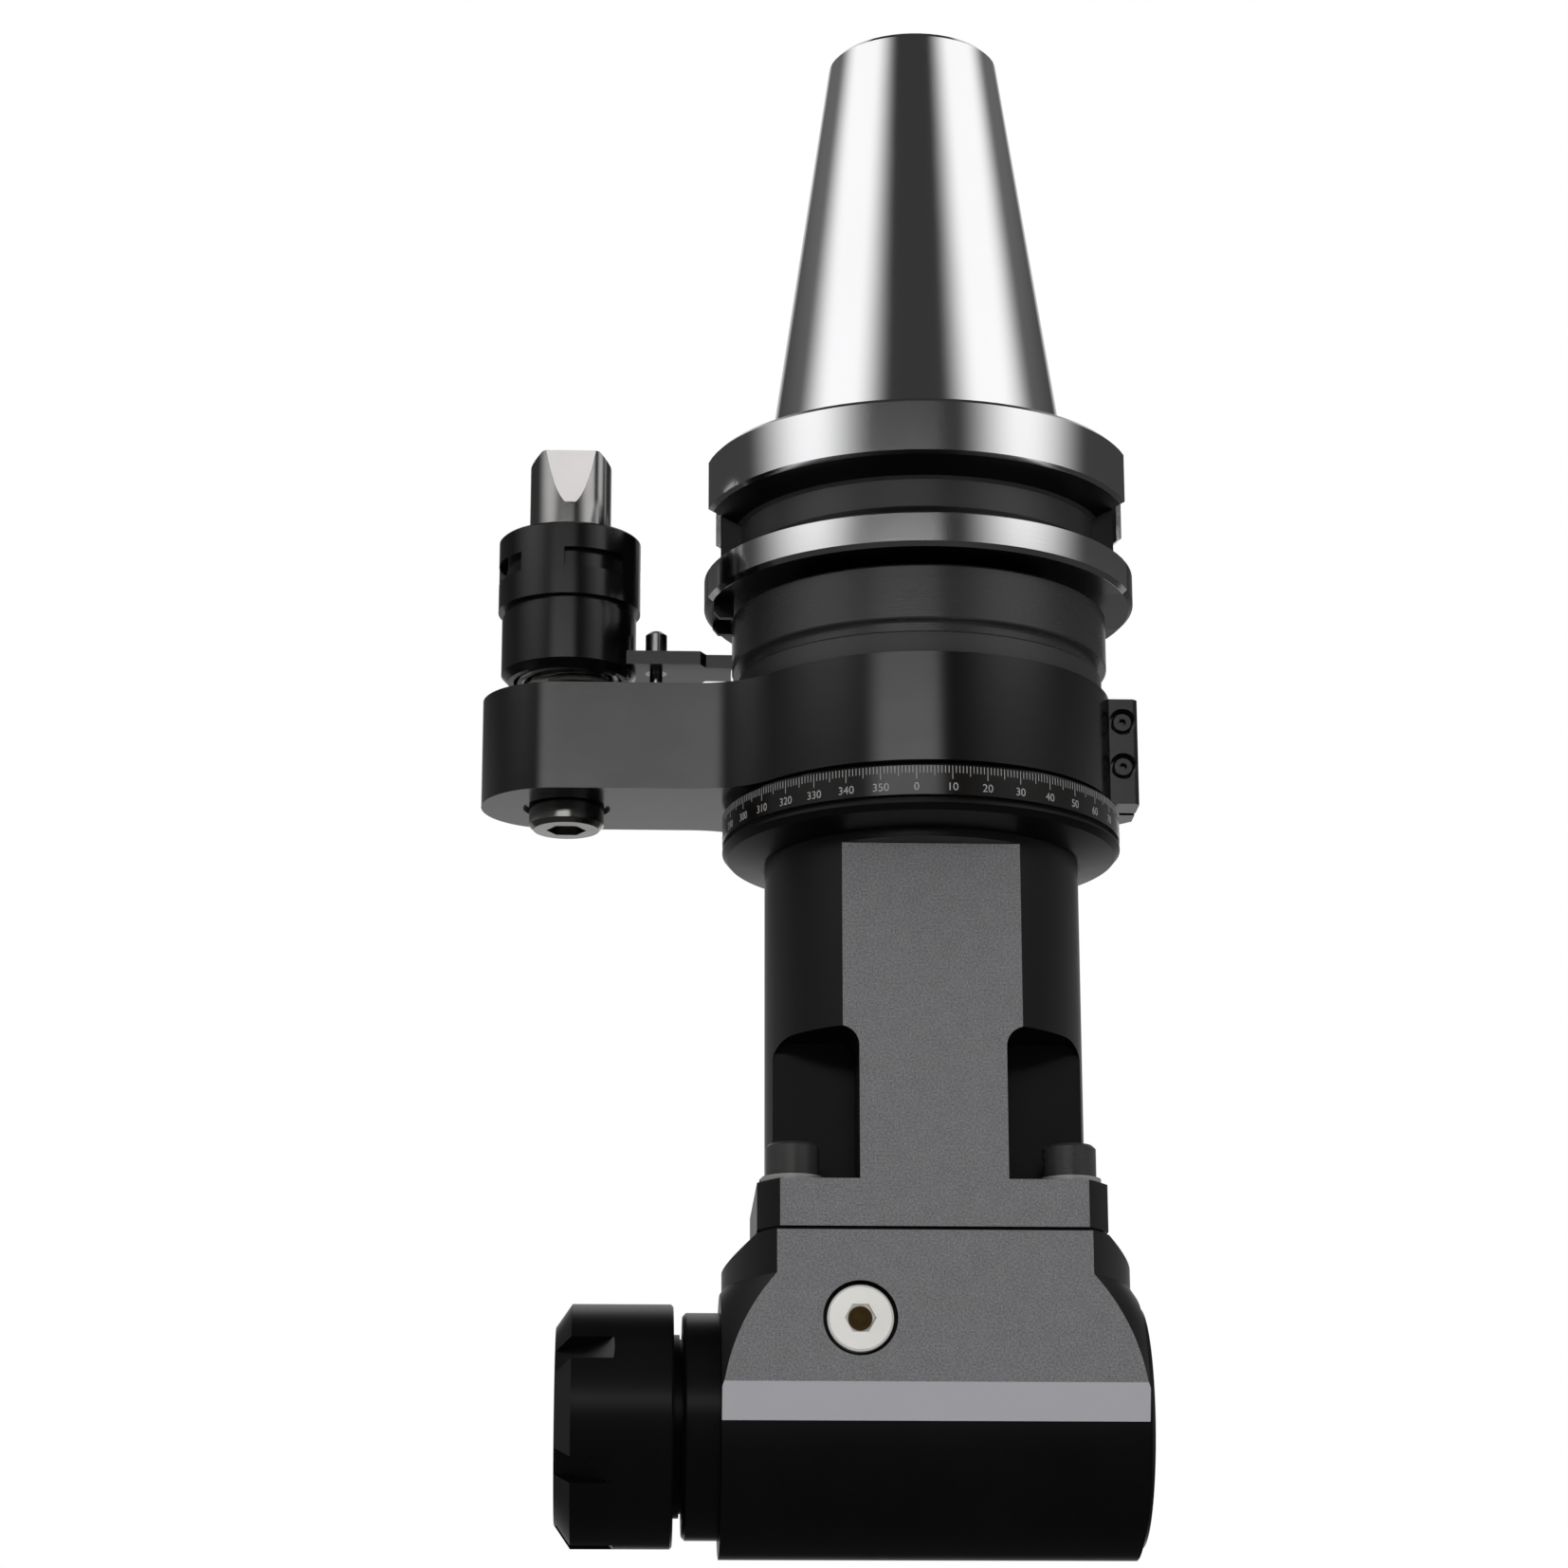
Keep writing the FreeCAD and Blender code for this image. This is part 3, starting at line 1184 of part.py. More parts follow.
def stop_sleeve():
    """Sliding sleeve with a spring chamber and a side slot that holds the latch plate."""
    low = S.sleeve_low
    body = turned("stop_sleeve", [
        (12.7, low), (14, low), (S.sleeve_rad, low + 1.7), (S.sleeve_rad, S.collar_low - 1.7),
        (15, S.collar_low - 1.7), (15, S.collar_low), (13.2, S.collar_low),
        (13.2, S.collar_top - 1.5), (S.pin_rad + 0.05, S.collar_top - 1.5),
        (S.pin_rad + 0.05, -44.6), (12.7, -44.6),
    ])
    slot = sketch_on(body, "XZ_Plane")
    box_outline(slot, 10, S.latch_top - S.latch_thick, 20, S.latch_top)
    pocket(body, slot, 16, both=True)
    tap = sketch_on(body, "XZ_Plane", -20)
    disc(tap, 0, -42.4, 1.5)
    pocket(body, tap, 11.5, flip=True)
    place(body, -S.pin_x, 0, 0)


def stroke_screw():
    """Grub screw whose plain tip runs in the slot of the stop pin."""
    facing = Rotation(Vector(1, 0, 0), -90)
    screw = Part.makeCylinder(1.45, 5)
    socket = hex_prism(1.5, 2)
    socket.translate(Vector(0, 0, 3.4))
    group("stroke_screw", screw.cut(socket), -S.pin_x, 8.1, -42.4, facing)


def adjusting_ring():
    """Ring on the upper half of the sleeve with four spanner windows."""
    body = turned("adjusting_ring", [
        (13.25, S.collar_low + 0.05), (S.collar_out, S.collar_low + 0.05),
        (S.collar_out, S.collar_top - 0.5), (S.collar_out - 0.5, S.collar_top),
        (S.pin_rad + 0.35, S.collar_top), (S.pin_rad + 0.35, S.collar_top - 1.4),
        (13.25, S.collar_top - 1.4),
    ])
    window = sketch_on(body, "XZ_Plane")
    box_outline(window, S.collar_out - 1.8, -32.4, S.collar_out + 1, -27.8)
    cut = body.newObject("PartDesign::Groove", "adjusting_ring_window")
    cut.Profile = window
    cut.ReferenceAxis = (window, ["V_Axis"])
    cut.Angle = 52
    cut.Midplane = True
    doc.recompute()
    polar(body, cut, 4)
    place(body, -S.pin_x, 0, 0, Rotation(Vector(0, 0, 1), -68))


def latch_plate():
    """Plate from the sleeve to the shank. Raised, its hollow tongue enters the long dog."""
    body = new_body("latch_plate")
    low = S.latch_top - S.latch_thick
    outline = sketch_on(body, "XY_Plane", low)
    polygon(outline, [
        (-S.pin_x + 12.9, -7.9), (-51, -7.9), (-49.6, -5.2), (-42, -5.2),
        (-42, 5.2), (-49.6, 5.2), (-51, 7.9), (-S.pin_x + 12.9, 7.9),
    ])
    pad(body, outline, S.latch_thick)
    turn(body, [(0, low - 1), (S.latch_tip, low - 1), (S.latch_tip, S.latch_top + 1),
                (0, S.latch_top + 1)], cut=True)
    hole = sketch_on(body, "XY_Plane", S.latch_top + 1)
    disc(hole, -S.guide_x, 0, S.guide_rad)
    pocket(body, hole, 8)
    taps = sketch_on(body, "XY_Plane", S.latch_top + 1)
    disc(taps, -S.pin_x + 13.7, -4.5, 0.75)
    disc(taps, -S.pin_x + 13.7, 4.5, 0.75)
    pocket(body, taps, 8)
    place(body)


def latch_screws():
    """Two grub screws that hold the latch plate in the foot of the sleeve."""
    screw = Part.makeCylinder(0.75, 5.7)
    x = 13.7 - S.pin_x.value
    low = S.sleeve_low.value + 0.1
    group("latch_screws", spread(screw, [(x, -4.5, low), (x, 4.5, low)]))


def drill_latch_screws():
    body = doc.getObject("stop_sleeve")
    holes = sketch_on(body, "XY_Plane", S.sleeve_low - 1)
    disc(holes, 13.7, -4.5, 0.75)
    disc(holes, 13.7, 4.5, 0.75)
    pocket(body, holes, 7, flip=True)


def return_spring():
    """Coil round the stop pin between the arm and the top of the spring chamber."""
    wire = 0.8
    coil = 11.15
    turns = 5
    stations = 16
    base = S.arm_top.value + 0.05 + wire
    rise = 14.3 / (turns * stations)
    sections = []
    for index in range(turns * stations + 1):
        angle = 2 * math.pi * index / stations
        corners = []
        for side in range(9):
            swing = math.radians(45 * side)
            reach = coil + wire * math.cos(swing)
            height = base + rise * index + wire * math.sin(swing)
            corners.append(Vector(reach * math.cos(angle), reach * math.sin(angle), height))
        sections.append(Part.makePolygon(corners))
    group("return_spring", Part.makeLoft(sections, True, True), -S.pin_x)


taper_shank()
cut_screw_holes_in_shank()
drive_dogs()
dog_screws()
input_pinion()
output_gear()
keys()
place(slotted_nut("bearing_nut", 22.55, 29, -94.5, -86.1))
place(slotted_nut("pinion_nut", 10.05, 14, 13.5, 17.5, width=3), 0, 0, S.axis_z)
on_output(slotted_nut("gear_nut", 10.05, 15.5, -35.8, -33.1, width=3, depth=1))
on_output(slotted_nut("front_nut", 16.05, 18.9, 26.4, 29.6, width=3, depth=1))
place(turned("drive_spacer", rect(S.stem_rad + 0.03, 13.4, S.axis_z + 39.35, -140)))
input_bearings()
output_bearings()
top_cover()
cover_screws()
shaft_seal()
neck_housing()
index_dial()
joint_shim()
joint_screws()
dowel_pins()
head_housing()
grease_plug()
output_spindle()
collet()
collet_nut()
nose_collar()
rear_cover()
stop_arm()
clamp_screws()
stop_pin()
pin_bolt()
guide_pin()
stop_sleeve()
drill_latch_screws()
stroke_screw()
adjusting_ring()
latch_plate()
latch_screws()
return_spring()

doc.recompute()
for thing in doc.Objects:
    if "Invalid" in thing.State or "Error" in thing.State:
        raise RuntimeError(f"{thing.Label} does not build")
for thing in exported:
    if thing.Shape.isNull() or not thing.Shape.isValid():
        raise RuntimeError(f"{thing.Label} has no sound shape")

os.makedirs("parts", exist_ok=True)
for thing in exported:
    thing.Shape.exportStep(f"parts/{thing.Label}.step")
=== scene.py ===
import math

import bpy
from mathutils import Matrix, Vector


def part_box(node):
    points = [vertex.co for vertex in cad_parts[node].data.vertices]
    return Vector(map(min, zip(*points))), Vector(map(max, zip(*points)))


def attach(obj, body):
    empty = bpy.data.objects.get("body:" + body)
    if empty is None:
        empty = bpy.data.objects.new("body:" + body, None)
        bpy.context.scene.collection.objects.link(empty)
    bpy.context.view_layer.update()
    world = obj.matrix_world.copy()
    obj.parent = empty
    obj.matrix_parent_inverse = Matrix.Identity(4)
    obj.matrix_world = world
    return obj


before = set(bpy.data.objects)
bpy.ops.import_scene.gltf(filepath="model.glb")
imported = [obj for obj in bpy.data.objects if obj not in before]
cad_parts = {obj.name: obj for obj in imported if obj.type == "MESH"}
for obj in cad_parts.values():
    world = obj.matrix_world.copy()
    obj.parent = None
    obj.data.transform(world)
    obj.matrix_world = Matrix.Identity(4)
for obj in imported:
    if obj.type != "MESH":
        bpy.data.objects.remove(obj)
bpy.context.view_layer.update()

bl_info = {
    "name": "Angle head dressing",
    "version": (1, 0, 0),
    "blender": (4, 5, 0),
    "location": "View3D > Sidebar > Angle head",
    "description": "Finishes, dial engraving and studio for a right-angle milling head",
    "category": "Object",
}

# Lengths are in metres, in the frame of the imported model: the origin is on the spindle
# axis at the gauge line, +Z runs up the taper and the front flats look to -Y.


def top_of(node):
    """Height of the highest point of a CAD node."""
    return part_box(node)[1][2]


def foot_of(node):
    """Height of the lowest point of a CAD node."""
    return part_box(node)[0][2]


def reach_of(node):
    """How far a CAD node reaches towards +Y."""
    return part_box(node)[1][1]


DIAL_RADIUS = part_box("index_dial")[1][0]
FLAT = reach_of("head_housing")
STOP_PIN_X = (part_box("stop_pin")[0][0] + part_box("stop_pin")[1][0]) / 2

# The dial: figures round it, degrees from one to the next, how far the ticks hang below
# its upper edge and how high the figures stand above its lower edge.
FIGURES = 36
FIGURE_STEP = 10.0
TICK_DROP = 0.0006
FIGURE_RISE = 0.0017

# Own colours of single finishes.
GEAR_STEEL = (0.42, 0.42, 0.43)
RACE_STEEL = (0.62, 0.62, 0.64)
SPINDLE_STEEL = (0.05, 0.05, 0.052)
COLLET_STEEL = (0.55, 0.55, 0.56)
BOLT_STEEL = (0.5, 0.49, 0.47)
SPRING_STEEL = (0.7, 0.69, 0.66)
PLUG_STEEL = (0.86, 0.85, 0.81)
DIAL_OXIDE = (0.0034, 0.0026, 0.0022)
MILLED_STEEL = ((0.60, 0.58, 0.575), (0.68, 0.66, 0.65))
RUBBER = ((0.008, 0.008, 0.008), (0.02, 0.02, 0.02))
FLOOR = ((0.84, 0.84, 0.84), (0.87, 0.87, 0.87))
WHITE = (1.0, 1.0, 1.0)

# The studio: the floor, and the drum that reflections see.
FLOOR_DEPTH = -0.72
FLOOR_HALF = 6.0
TENT_RADIUS = 2.4
TENT_FOOT = -0.7
TENT_TOP = 3.0
TENT_SIDES = 96

# Each lamp: its name, place, target, width, height and share of the key light's power.
LAMPS = (
    ("key", (0.1, -1.45, -0.52), (0.0, 0.0, -0.12), 0.35, 0.5, 1.0),
    ("top", (-0.3, -0.5, 1.5), (0.0, 0.0, -0.1), 1.0, 1.0, 0.9),
    ("back", (0.5, 1.7, 0.4), (0.0, 0.0, -0.1), 0.9, 0.9, 1.0),
)

# The camera: the width of its picture in millimetres, and the nearest thing that it sees.
SENSOR_WIDTH = 36.0
NEAREST = 0.01


class FinishSettings(bpy.types.PropertyGroup):
    """Colours of the finishes, as they look under plain light, except the facet colour, which
    is a painted reflection.
    """

    steel: bpy.props.FloatVectorProperty(
        name="Ground steel", description="Colour of the ground taper and rims",
        default=(0.86, 0.86, 0.87), size=3, subtype="COLOR")
    oxide: bpy.props.FloatVectorProperty(
        name="Black oxide", description="Colour of the oxidised steel",
        default=(0.0014, 0.0014, 0.0015), size=3, subtype="COLOR")
    blasted: bpy.props.FloatVectorProperty(
        name="Blasted flats", description="Colour of the matt flats on the neck and head",
        default=(0.12, 0.12, 0.124), size=3, subtype="COLOR")
    # The facet colour is a painted reflection: a light grey that stands for the low front light
    # mirrored in the satin black facet.
    facet: bpy.props.FloatVectorProperty(
        name="Milled facet", description="Colour of the facet under the flat of the head",
        default=(0.29, 0.288, 0.305), size=3, subtype="COLOR")
    cover: bpy.props.FloatVectorProperty(
        name="Turned cover", description="Colour of the dark turned steel of the cover",
        default=(0.072, 0.072, 0.074), size=3, subtype="COLOR")
    bright: bpy.props.FloatVectorProperty(
        name="Bright fasteners", description="Colour of plated screws and pins",
        default=(0.62, 0.61, 0.60), size=3, subtype="COLOR")
    brass: bpy.props.FloatVectorProperty(
        name="Brass", description="Colour of the cages and the plug core",
        default=(0.56, 0.36, 0.13), size=3, subtype="COLOR")
    paint: bpy.props.FloatVectorProperty(
        name="Dial paint", description="Colour of the ticks and numbers",
        default=(0.25, 0.25, 0.25), size=3, subtype="COLOR")


class DialSettings(bpy.types.PropertyGroup):
    """Sizes of the engraving on the index dial."""

    ticks: bpy.props.IntProperty(
        name="Ticks", description="Ticks round the dial", default=360, min=36)
    short_tick: bpy.props.FloatProperty(
        name="Short tick", description="Length of a one degree tick",
        default=0.0016, unit="LENGTH")
    middle_tick: bpy.props.FloatProperty(
        name="Middle tick", description="Length of a five degree tick",
        default=0.0023, unit="LENGTH")
    long_tick: bpy.props.FloatProperty(
        name="Long tick", description="Length of a ten degree tick",
        default=0.003, unit="LENGTH")
    width: bpy.props.FloatProperty(
        name="Tick width", description="Width of a tick", default=0.00016, unit="LENGTH")
    figure: bpy.props.FloatProperty(
        name="Figure height", description="Size of the numbers",
        default=0.00255, unit="LENGTH")
    proud: bpy.props.FloatProperty(
        name="Paint thickness", description="How far the paint stands out",
        default=0.00004, unit="LENGTH")
    zero: bpy.props.FloatProperty(
        name="Zero", description="Bearing of the zero, from the front towards +X",
        default=math.radians(-5.3), subtype="ANGLE")


class StudioSettings(bpy.types.PropertyGroup):
    """Camera and light."""

    place: bpy.props.FloatVectorProperty(
        name="Camera place", description="Where the camera stands",
        default=(-0.06801, -0.88121, -0.32899), size=3, subtype="TRANSLATION")
    yaw: bpy.props.FloatProperty(
        name="Yaw", description="Turn of the view to the right of +Y",
        default=0.0415, subtype="ANGLE")
    pitch: bpy.props.FloatProperty(
        name="Pitch", description="Tilt of the view above the horizon",
        default=0.2758, subtype="ANGLE")
    roll: bpy.props.FloatProperty(
        name="Roll", description="Turn of the picture", default=-0.0011, subtype="ANGLE")
    lens: bpy.props.FloatProperty(
        name="Lens", description="Focal length on a 36 mm wide picture, in millimetres",
        default=91.26, min=10.0)
    key: bpy.props.FloatProperty(
        name="Key light", description="Power of the low front lamp in watts; the others follow",
        default=9.0, min=0.0)
    fill: bpy.props.FloatProperty(
        name="Fill light", description="Strength of the even light from all sides",
        default=0.62, min=0.0)


def settings():
    """The three groups of settings of this scene."""
    scene = bpy.context.scene
    return scene.head_finish, scene.head_dial, scene.head_studio


class Signal:
    """One output socket of a node tree. Python sums on it add Math nodes."""

    def __init__(self, graph, socket):
        self.graph = graph
        self.socket = socket

    def math(self, operation, *others):
        node = self.graph.node("ShaderNodeMath", {"operation": operation}, self, *others)
        return node.out(0)

    def __add__(self, other):
        return self.math("ADD", other)

    __radd__ = __add__

    def __mul__(self, other):
        return self.math("MULTIPLY", other)

    __rmul__ = __mul__

    def __sub__(self, other):
        return self.math("SUBTRACT", other)

    def __rsub__(self, other):
        return self.graph.node("ShaderNodeMath", {"operation": "SUBTRACT"}, other, self).out(0)

    def __truediv__(self, other):
        return self.math("DIVIDE", other)

    def __pow__(self, other):
        return self.math("POWER", other)

    def __abs__(self):
        return self.math("ABSOLUTE")

    def __gt__(self, other):
        return self.math("GREATER_THAN", other)

    def __lt__(self, other):
        return self.math("LESS_THAN", other)

    def ramp(self, low, high):
        """0 below low, 1 above high and smooth between."""
        node = self.graph.node("ShaderNodeMapRange", {"interpolation_type": "SMOOTHSTEP"},
                               self, low, high, 0.0, 1.0)
        return node.out(0)


class Made:
    """A node with its outputs ready for sums."""

    def __init__(self, graph, node):
        self.graph = graph
        self.node = node

    def out(self, key):
        return Signal(self.graph, self.node.outputs[key])


class Graph:
    """A node tree that is filled by one method."""

    def __init__(self, tree):
        self.tree = tree

    def feed(self, socket, value):
        if isinstance(value, Made):
            value = value.out(0)
        if isinstance(value, Signal):
            self.tree.links.new(value.socket, socket)
        elif hasattr(socket.default_value, "__len__") and len(socket.default_value) == 4:
            socket.default_value = (*value[:3], 1.0)
        else:
            socket.default_value = value

    def node(self, kind, setting=None, *values, **named):
        node = self.tree.nodes.new(kind)
        for key, value in (setting or {}).items():
            setattr(node, key, value)
        for index, value in enumerate(values):
            if value is not None:
                self.feed(node.inputs[index], value)
        for key, value in named.items():
            self.feed(node.inputs[key.replace("_", " ")], value)
        return Made(self, node)

    def mix(self, factor, first, second):
        """Colour between two colours, by the colour sockets of the Mix node."""
        node = self.node("ShaderNodeMix", {"data_type": "RGBA"})
        self.feed(node.node.inputs[0], factor)
        self.feed(node.node.inputs[6], first)
        self.feed(node.node.inputs[7], second)
        return node.out(2)

    def place(self):
        """Object coordinates and their three parts."""
        coordinate = self.node("ShaderNodeTexCoord").out("Object")
        parts = self.node("ShaderNodeSeparateXYZ", {}, coordinate)
        return coordinate, parts.out(0), parts.out(1), parts.out(2)

    def noise(self, vector, scale, detail=2.0, roughness=0.5):
        node = self.node("ShaderNodeTexNoise", {"noise_dimensions": "3D"}, Vector=vector,
                         Scale=scale, Detail=detail, Roughness=roughness)
        return node.out(0)

    def bump(self, height, distance):
        node = self.node("ShaderNodeBump", {}, Strength=1.0, Distance=distance, Height=height)
        return node.out(0)


def cleared(block):
    """The emptied node tree of a material or a world."""
    block.use_nodes = True
    block.node_tree.nodes.clear()
    return Graph(block.node_tree)


def finish(name, build, constants):
    """A material whose build function returns what varies over the surface."""
    material = bpy.data.materials.new(name)
    graph = cleared(material)
    shader = graph.node("ShaderNodeBsdfPrincipled")
    for key, value in constants.items():
        graph.feed(shader.node.inputs[key], value)
    for key, value in build(graph).items():
        graph.feed(shader.node.inputs[key], value)
    output = graph.node("ShaderNodeOutputMaterial")
    graph.tree.links.new(shader.node.outputs[0], output.node.inputs[0])
    return material


def shade(colour, factor):
    """A colour made darker or lighter."""
    return tuple(part * factor for part in colour)


def over(angle, first, last):
    """Ramp of an angle between two bearings in degrees."""
    return angle.ramp(math.radians(first), math.radians(last))


def patched(graph, patches, colour):
    """Oxide that is darker and lighter in patches."""
    return graph.mix(patches, shade(colour, 0.7), shade(colour, 1.7))


def turned_marks(graph, coordinate, along="z"):
    """Fine rings left by turning or grinding about an axis, as a height from 0 to 1."""
    fine, coarse = 5200.0, 60.0
    stretch = (coarse, coarse, fine) if along == "z" else (fine, coarse, coarse)
    node = graph.node("ShaderNodeVectorMath", {"operation": "MULTIPLY"}, coordinate, stretch)
    return graph.noise(node.out(0), 1.0, 3.0)


def ground_shank(colours):
    """Ground taper and rims. The drive slots keep their oxide, the groove flanks and the flange
    underside take the same black as painted shade, and the groove floor is dark steel.
    """
    upper_face = -0.0032
    rim_radius = 0.0489
    groove_top, groove_foot, groove_radius = -0.0172, -0.029, 0.0435
    groove_metal = 0.7
    gloss, slot_rough = 0.09, 0.2

    def build(graph):
        coordinate, x, y, z = graph.place()
        radius = (x * x + y * y) ** 0.5
        rim = radius > rim_radius
        upper = z > upper_face
        ground = rim.math("MAXIMUM", upper)
        marks = turned_marks(graph, coordinate)
        patches = graph.noise(coordinate, 28.0, 3.0)
        steel = graph.mix(patches, shade(colours.steel, 0.94), colours.steel)
        in_groove = (z < groove_top) * (z > groove_foot) * (radius < groove_radius)
        floor = graph.mix(patches, shade(colours.cover, 0.8), shade(colours.cover, 1.1))
        # Off the ground steel: oxide on the drive slots, the same black as painted shade on the
        # groove flanks and the flange underside, and dark steel on the groove floor.
        oxide_floor_and_painted_shade = graph.mix(in_groove, colours.oxide, floor)
        rough = gloss + 0.03 * marks + 0.03 * patches + (1.0 - ground) * slot_rough
        shine = ground.math("MAXIMUM", in_groove * groove_metal)
        return {
            "Base Color": graph.mix(ground, oxide_floor_and_painted_shade, steel),
            "Metallic": shine,
            "Roughness": rough,
            "Normal": graph.bump(marks, 0.0000012),
        }

    return finish("ground_shank", build, {"Specular IOR Level": 0.4})


def black_oxide(name, oxide, along="z", gloss=0.34, sheen=0.5):
    """Satin black oxide on turned or milled steel."""

    def build(graph):
        coordinate = graph.place()[0]
        marks = turned_marks(graph, coordinate, along)
        patches = graph.noise(coordinate, 45.0, 4.0, 0.6)
        grain = graph.noise(coordinate, 2600.0, 2.0)
        return {
            "Base Color": patched(graph, patches, oxide),
            "Roughness": gloss + 0.05 * marks + 0.05 * patches,
            "Normal": graph.bump(marks * 0.7 + grain * 0.5, 0.000003),
        }

    return finish(name, build, {"Specular IOR Level": sheen})


def housing_oxide(name, colours, facet):
    """Black oxide with matt blasted flats, and a milled facet painted light grey as a painted
    reflection, or else a grey collar.
    """
    shoulder = -0.1012
    collar_foot = top_of("stop_arm") + 0.0003
    collar_metal = 0.7
    facet_top, facet_foot = -0.2202, -0.2285
    facet_half = 0.04597
    facet_slope = 0.289
    on_flat = FLAT - 0.00006
    below_flat = FLAT - 0.00002
    facet_depth = 0.00012
    gloss, blasted_rough, milled_rough = 0.34, 0.33, 0.2

    def build(graph):
        coordinate, x, y, z = graph.place()
        side = abs(y)
        marks = turned_marks(graph, coordinate)
        patches = graph.noise(coordinate, 45.0, 4.0, 0.6)
        sand = graph.noise(coordinate, 2300.0, 3.0, 0.75)
        cloud = graph.noise(coordinate, 260.0, 4.0, 0.6)
        flat = (side > on_flat) * (z < shoulder)
        black = patched(graph, patches, colours.oxide)
        speckle = (sand.ramp(0.32, 0.68) * 0.8 + cloud * 0.3) / 1.1
        grey = graph.mix(speckle, shade(colours.blasted, 0.5), shade(colours.blasted, 1.5))
        colour = graph.mix(flat, black, grey)
        rough = gloss + 0.08 * patches + flat * blasted_rough
        shine = 0.0
        height = flat * sand * 2.4 + (1.0 - flat) * marks * 0.7
        if facet:
            line = FLAT - (facet_top - z) * facet_slope - facet_depth
            painted_sheen_strip = (side > line) * (z < facet_top) * (z > facet_foot)
            painted_sheen_strip = painted_sheen_strip * (abs(x) < facet_half) * (1.0 - flat)
            painted_sheen_strip = painted_sheen_strip * (side < below_flat)
            # Light grey on the facet strip: a painted reflection of the low front light.
            milled = graph.mix(patches, shade(colours.facet, 0.97), shade(colours.facet, 1.03))
            colour = graph.mix(painted_sheen_strip, colour, milled)
            rough = rough + painted_sheen_strip * milled_rough
        else:
            band = z > collar_foot
            colour = graph.mix(band, colour, colours.cover)
            shine = band * collar_metal
        return {
            "Base Color": colour,
            "Metallic": shine,
            "Roughness": rough,
            "Normal": graph.bump(height, 0.000012),
        }

    return finish(name, build, {"Specular IOR Level": 0.5})


def turned_metal(name, colour, gloss, along="z", depth=0.000004, mottled=0.1, metal=1.0):
    """Bare turned or ground metal."""

    def build(graph):
        coordinate = graph.place()[0]
        marks = turned_marks(graph, coordinate, along)
        patches = graph.noise(coordinate, 60.0, 3.0)
        low = shade(colour, 1.0 - mottled)
        return {
            "Base Color": graph.mix(patches, low, shade(colour, 1.0 + mottled * 0.4)),
            "Roughness": gloss + 0.08 * marks + 0.05 * patches,
            "Normal": graph.bump(marks, depth),
        }

    return finish(name, build, {"Metallic": metal})


def pin_steel(colours):
    """Ground stop pin with matt milled facets at its top."""
    top = top_of("stop_pin")
    front_foot = top - 0.0134
    front_reach, front_slope = 0.00757, 0.1419
    side_foot = top - 0.0022
    side_reach, side_slope = 0.0067, 1.217
    slack = 0.00005

    def build(graph):
        coordinate, x, y, z = graph.place()
        marks = turned_marks(graph, coordinate)
        patches = graph.noise(coordinate, 90.0, 3.0)
        front = (0.0 - y) > front_reach - slack + (top - z) * front_slope
        front = front * (z > front_foot)
        beside = abs(x - STOP_PIN_X) > side_reach - slack + (top - z) * side_slope
        beside = beside * (z > side_foot)
        facet = front.math("MAXIMUM", beside)
        milled = graph.mix(patches, *MILLED_STEEL)
        bright = graph.mix(patches, shade(colours.bright, 0.6), shade(colours.bright, 0.75))
        return {
            "Base Color": graph.mix(facet, bright, milled),
            "Metallic": 1.0 - facet,
            "Roughness": 0.14 + 0.05 * marks + facet * 0.4,
            "Normal": graph.bump(marks, 0.0000015),
        }

    return finish("pin_steel", build, {"Specular IOR Level": 0.4})


def seal_rubber():
    """Dusty black rubber."""

    def build(graph):
        coordinate = graph.place()[0]
        dust = graph.noise(coordinate, 700.0, 3.0)
        return {
            "Base Color": graph.mix(dust, *RUBBER),
            "Roughness": 0.6 + 0.2 * dust,
            "Normal": graph.bump(dust, 0.00001),
        }

    return finish("seal_rubber", build, {"Specular IOR Level": 0.3})


def dial_paint(colours):
    """Worn paint of the ticks and numbers."""

    def build(graph):
        coordinate = graph.place()[0]
        worn = graph.noise(coordinate, 900.0, 3.0)
        return {
            "Base Color": graph.mix(worn, shade(colours.paint, 0.65),
                                    shade(colours.paint, 1.25)),
            "Roughness": 0.5 + 0.2 * worn,
        }

    return finish("dial_paint", build, {"Specular IOR Level": 0.3})


def dress(material, *names):
    """Put one finish on CAD nodes."""
    for name in names:
        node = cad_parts[name]
        node.data.materials.clear()
        node.data.materials.append(material)


class HEAD_OT_shank(bpy.types.Operator):
    """Finish the shank, its dogs and everything that turns with it."""

    bl_idname = "angle_head.shank"
    bl_label = "Finish the shank"

    def execute(self, context):
        colours = settings()[0]
        dress(ground_shank(colours), "taper_shank")
        oxide = black_oxide("dog_oxide", colours.oxide)
        dress(oxide, "long_dog", "short_dog", "dog_screws", "bearing_nut", "pinion_nut")
        gear = turned_metal("gear_steel", GEAR_STEEL, 0.3)
        dress(gear, "input_pinion", "pinion_key", "output_gear", "gear_key")
        return {"FINISHED"}


class HEAD_OT_bearings(bpy.types.Operator):
    """Finish the races, rolling elements, cages, spacers and seals."""

    bl_idname = "angle_head.bearings"
    bl_label = "Finish the bearings"

    def execute(self, context):
        colours = settings()[0]
        ring = turned_metal("bearing_steel", RACE_STEEL, 0.16)
        dress(ring, "upper_inner_races", "upper_outer_races", "lower_inner_race",
              "lower_outer_race", "front_inner_races", "front_outer_races", "rear_inner_race",
              "rear_outer_race", "input_rollers", "output_rollers", "drive_spacer",
              "dowel_pins")
        brass = turned_metal("cage_brass", colours.brass, 0.3)
        dress(brass, "input_cages", "output_cages")
        dress(turned_metal("core_bronze", shade(colours.brass, 0.35), 0.4), "plug_core")
        dress(seal_rubber(), "shaft_seal", "nose_seal")
        return {"FINISHED"}


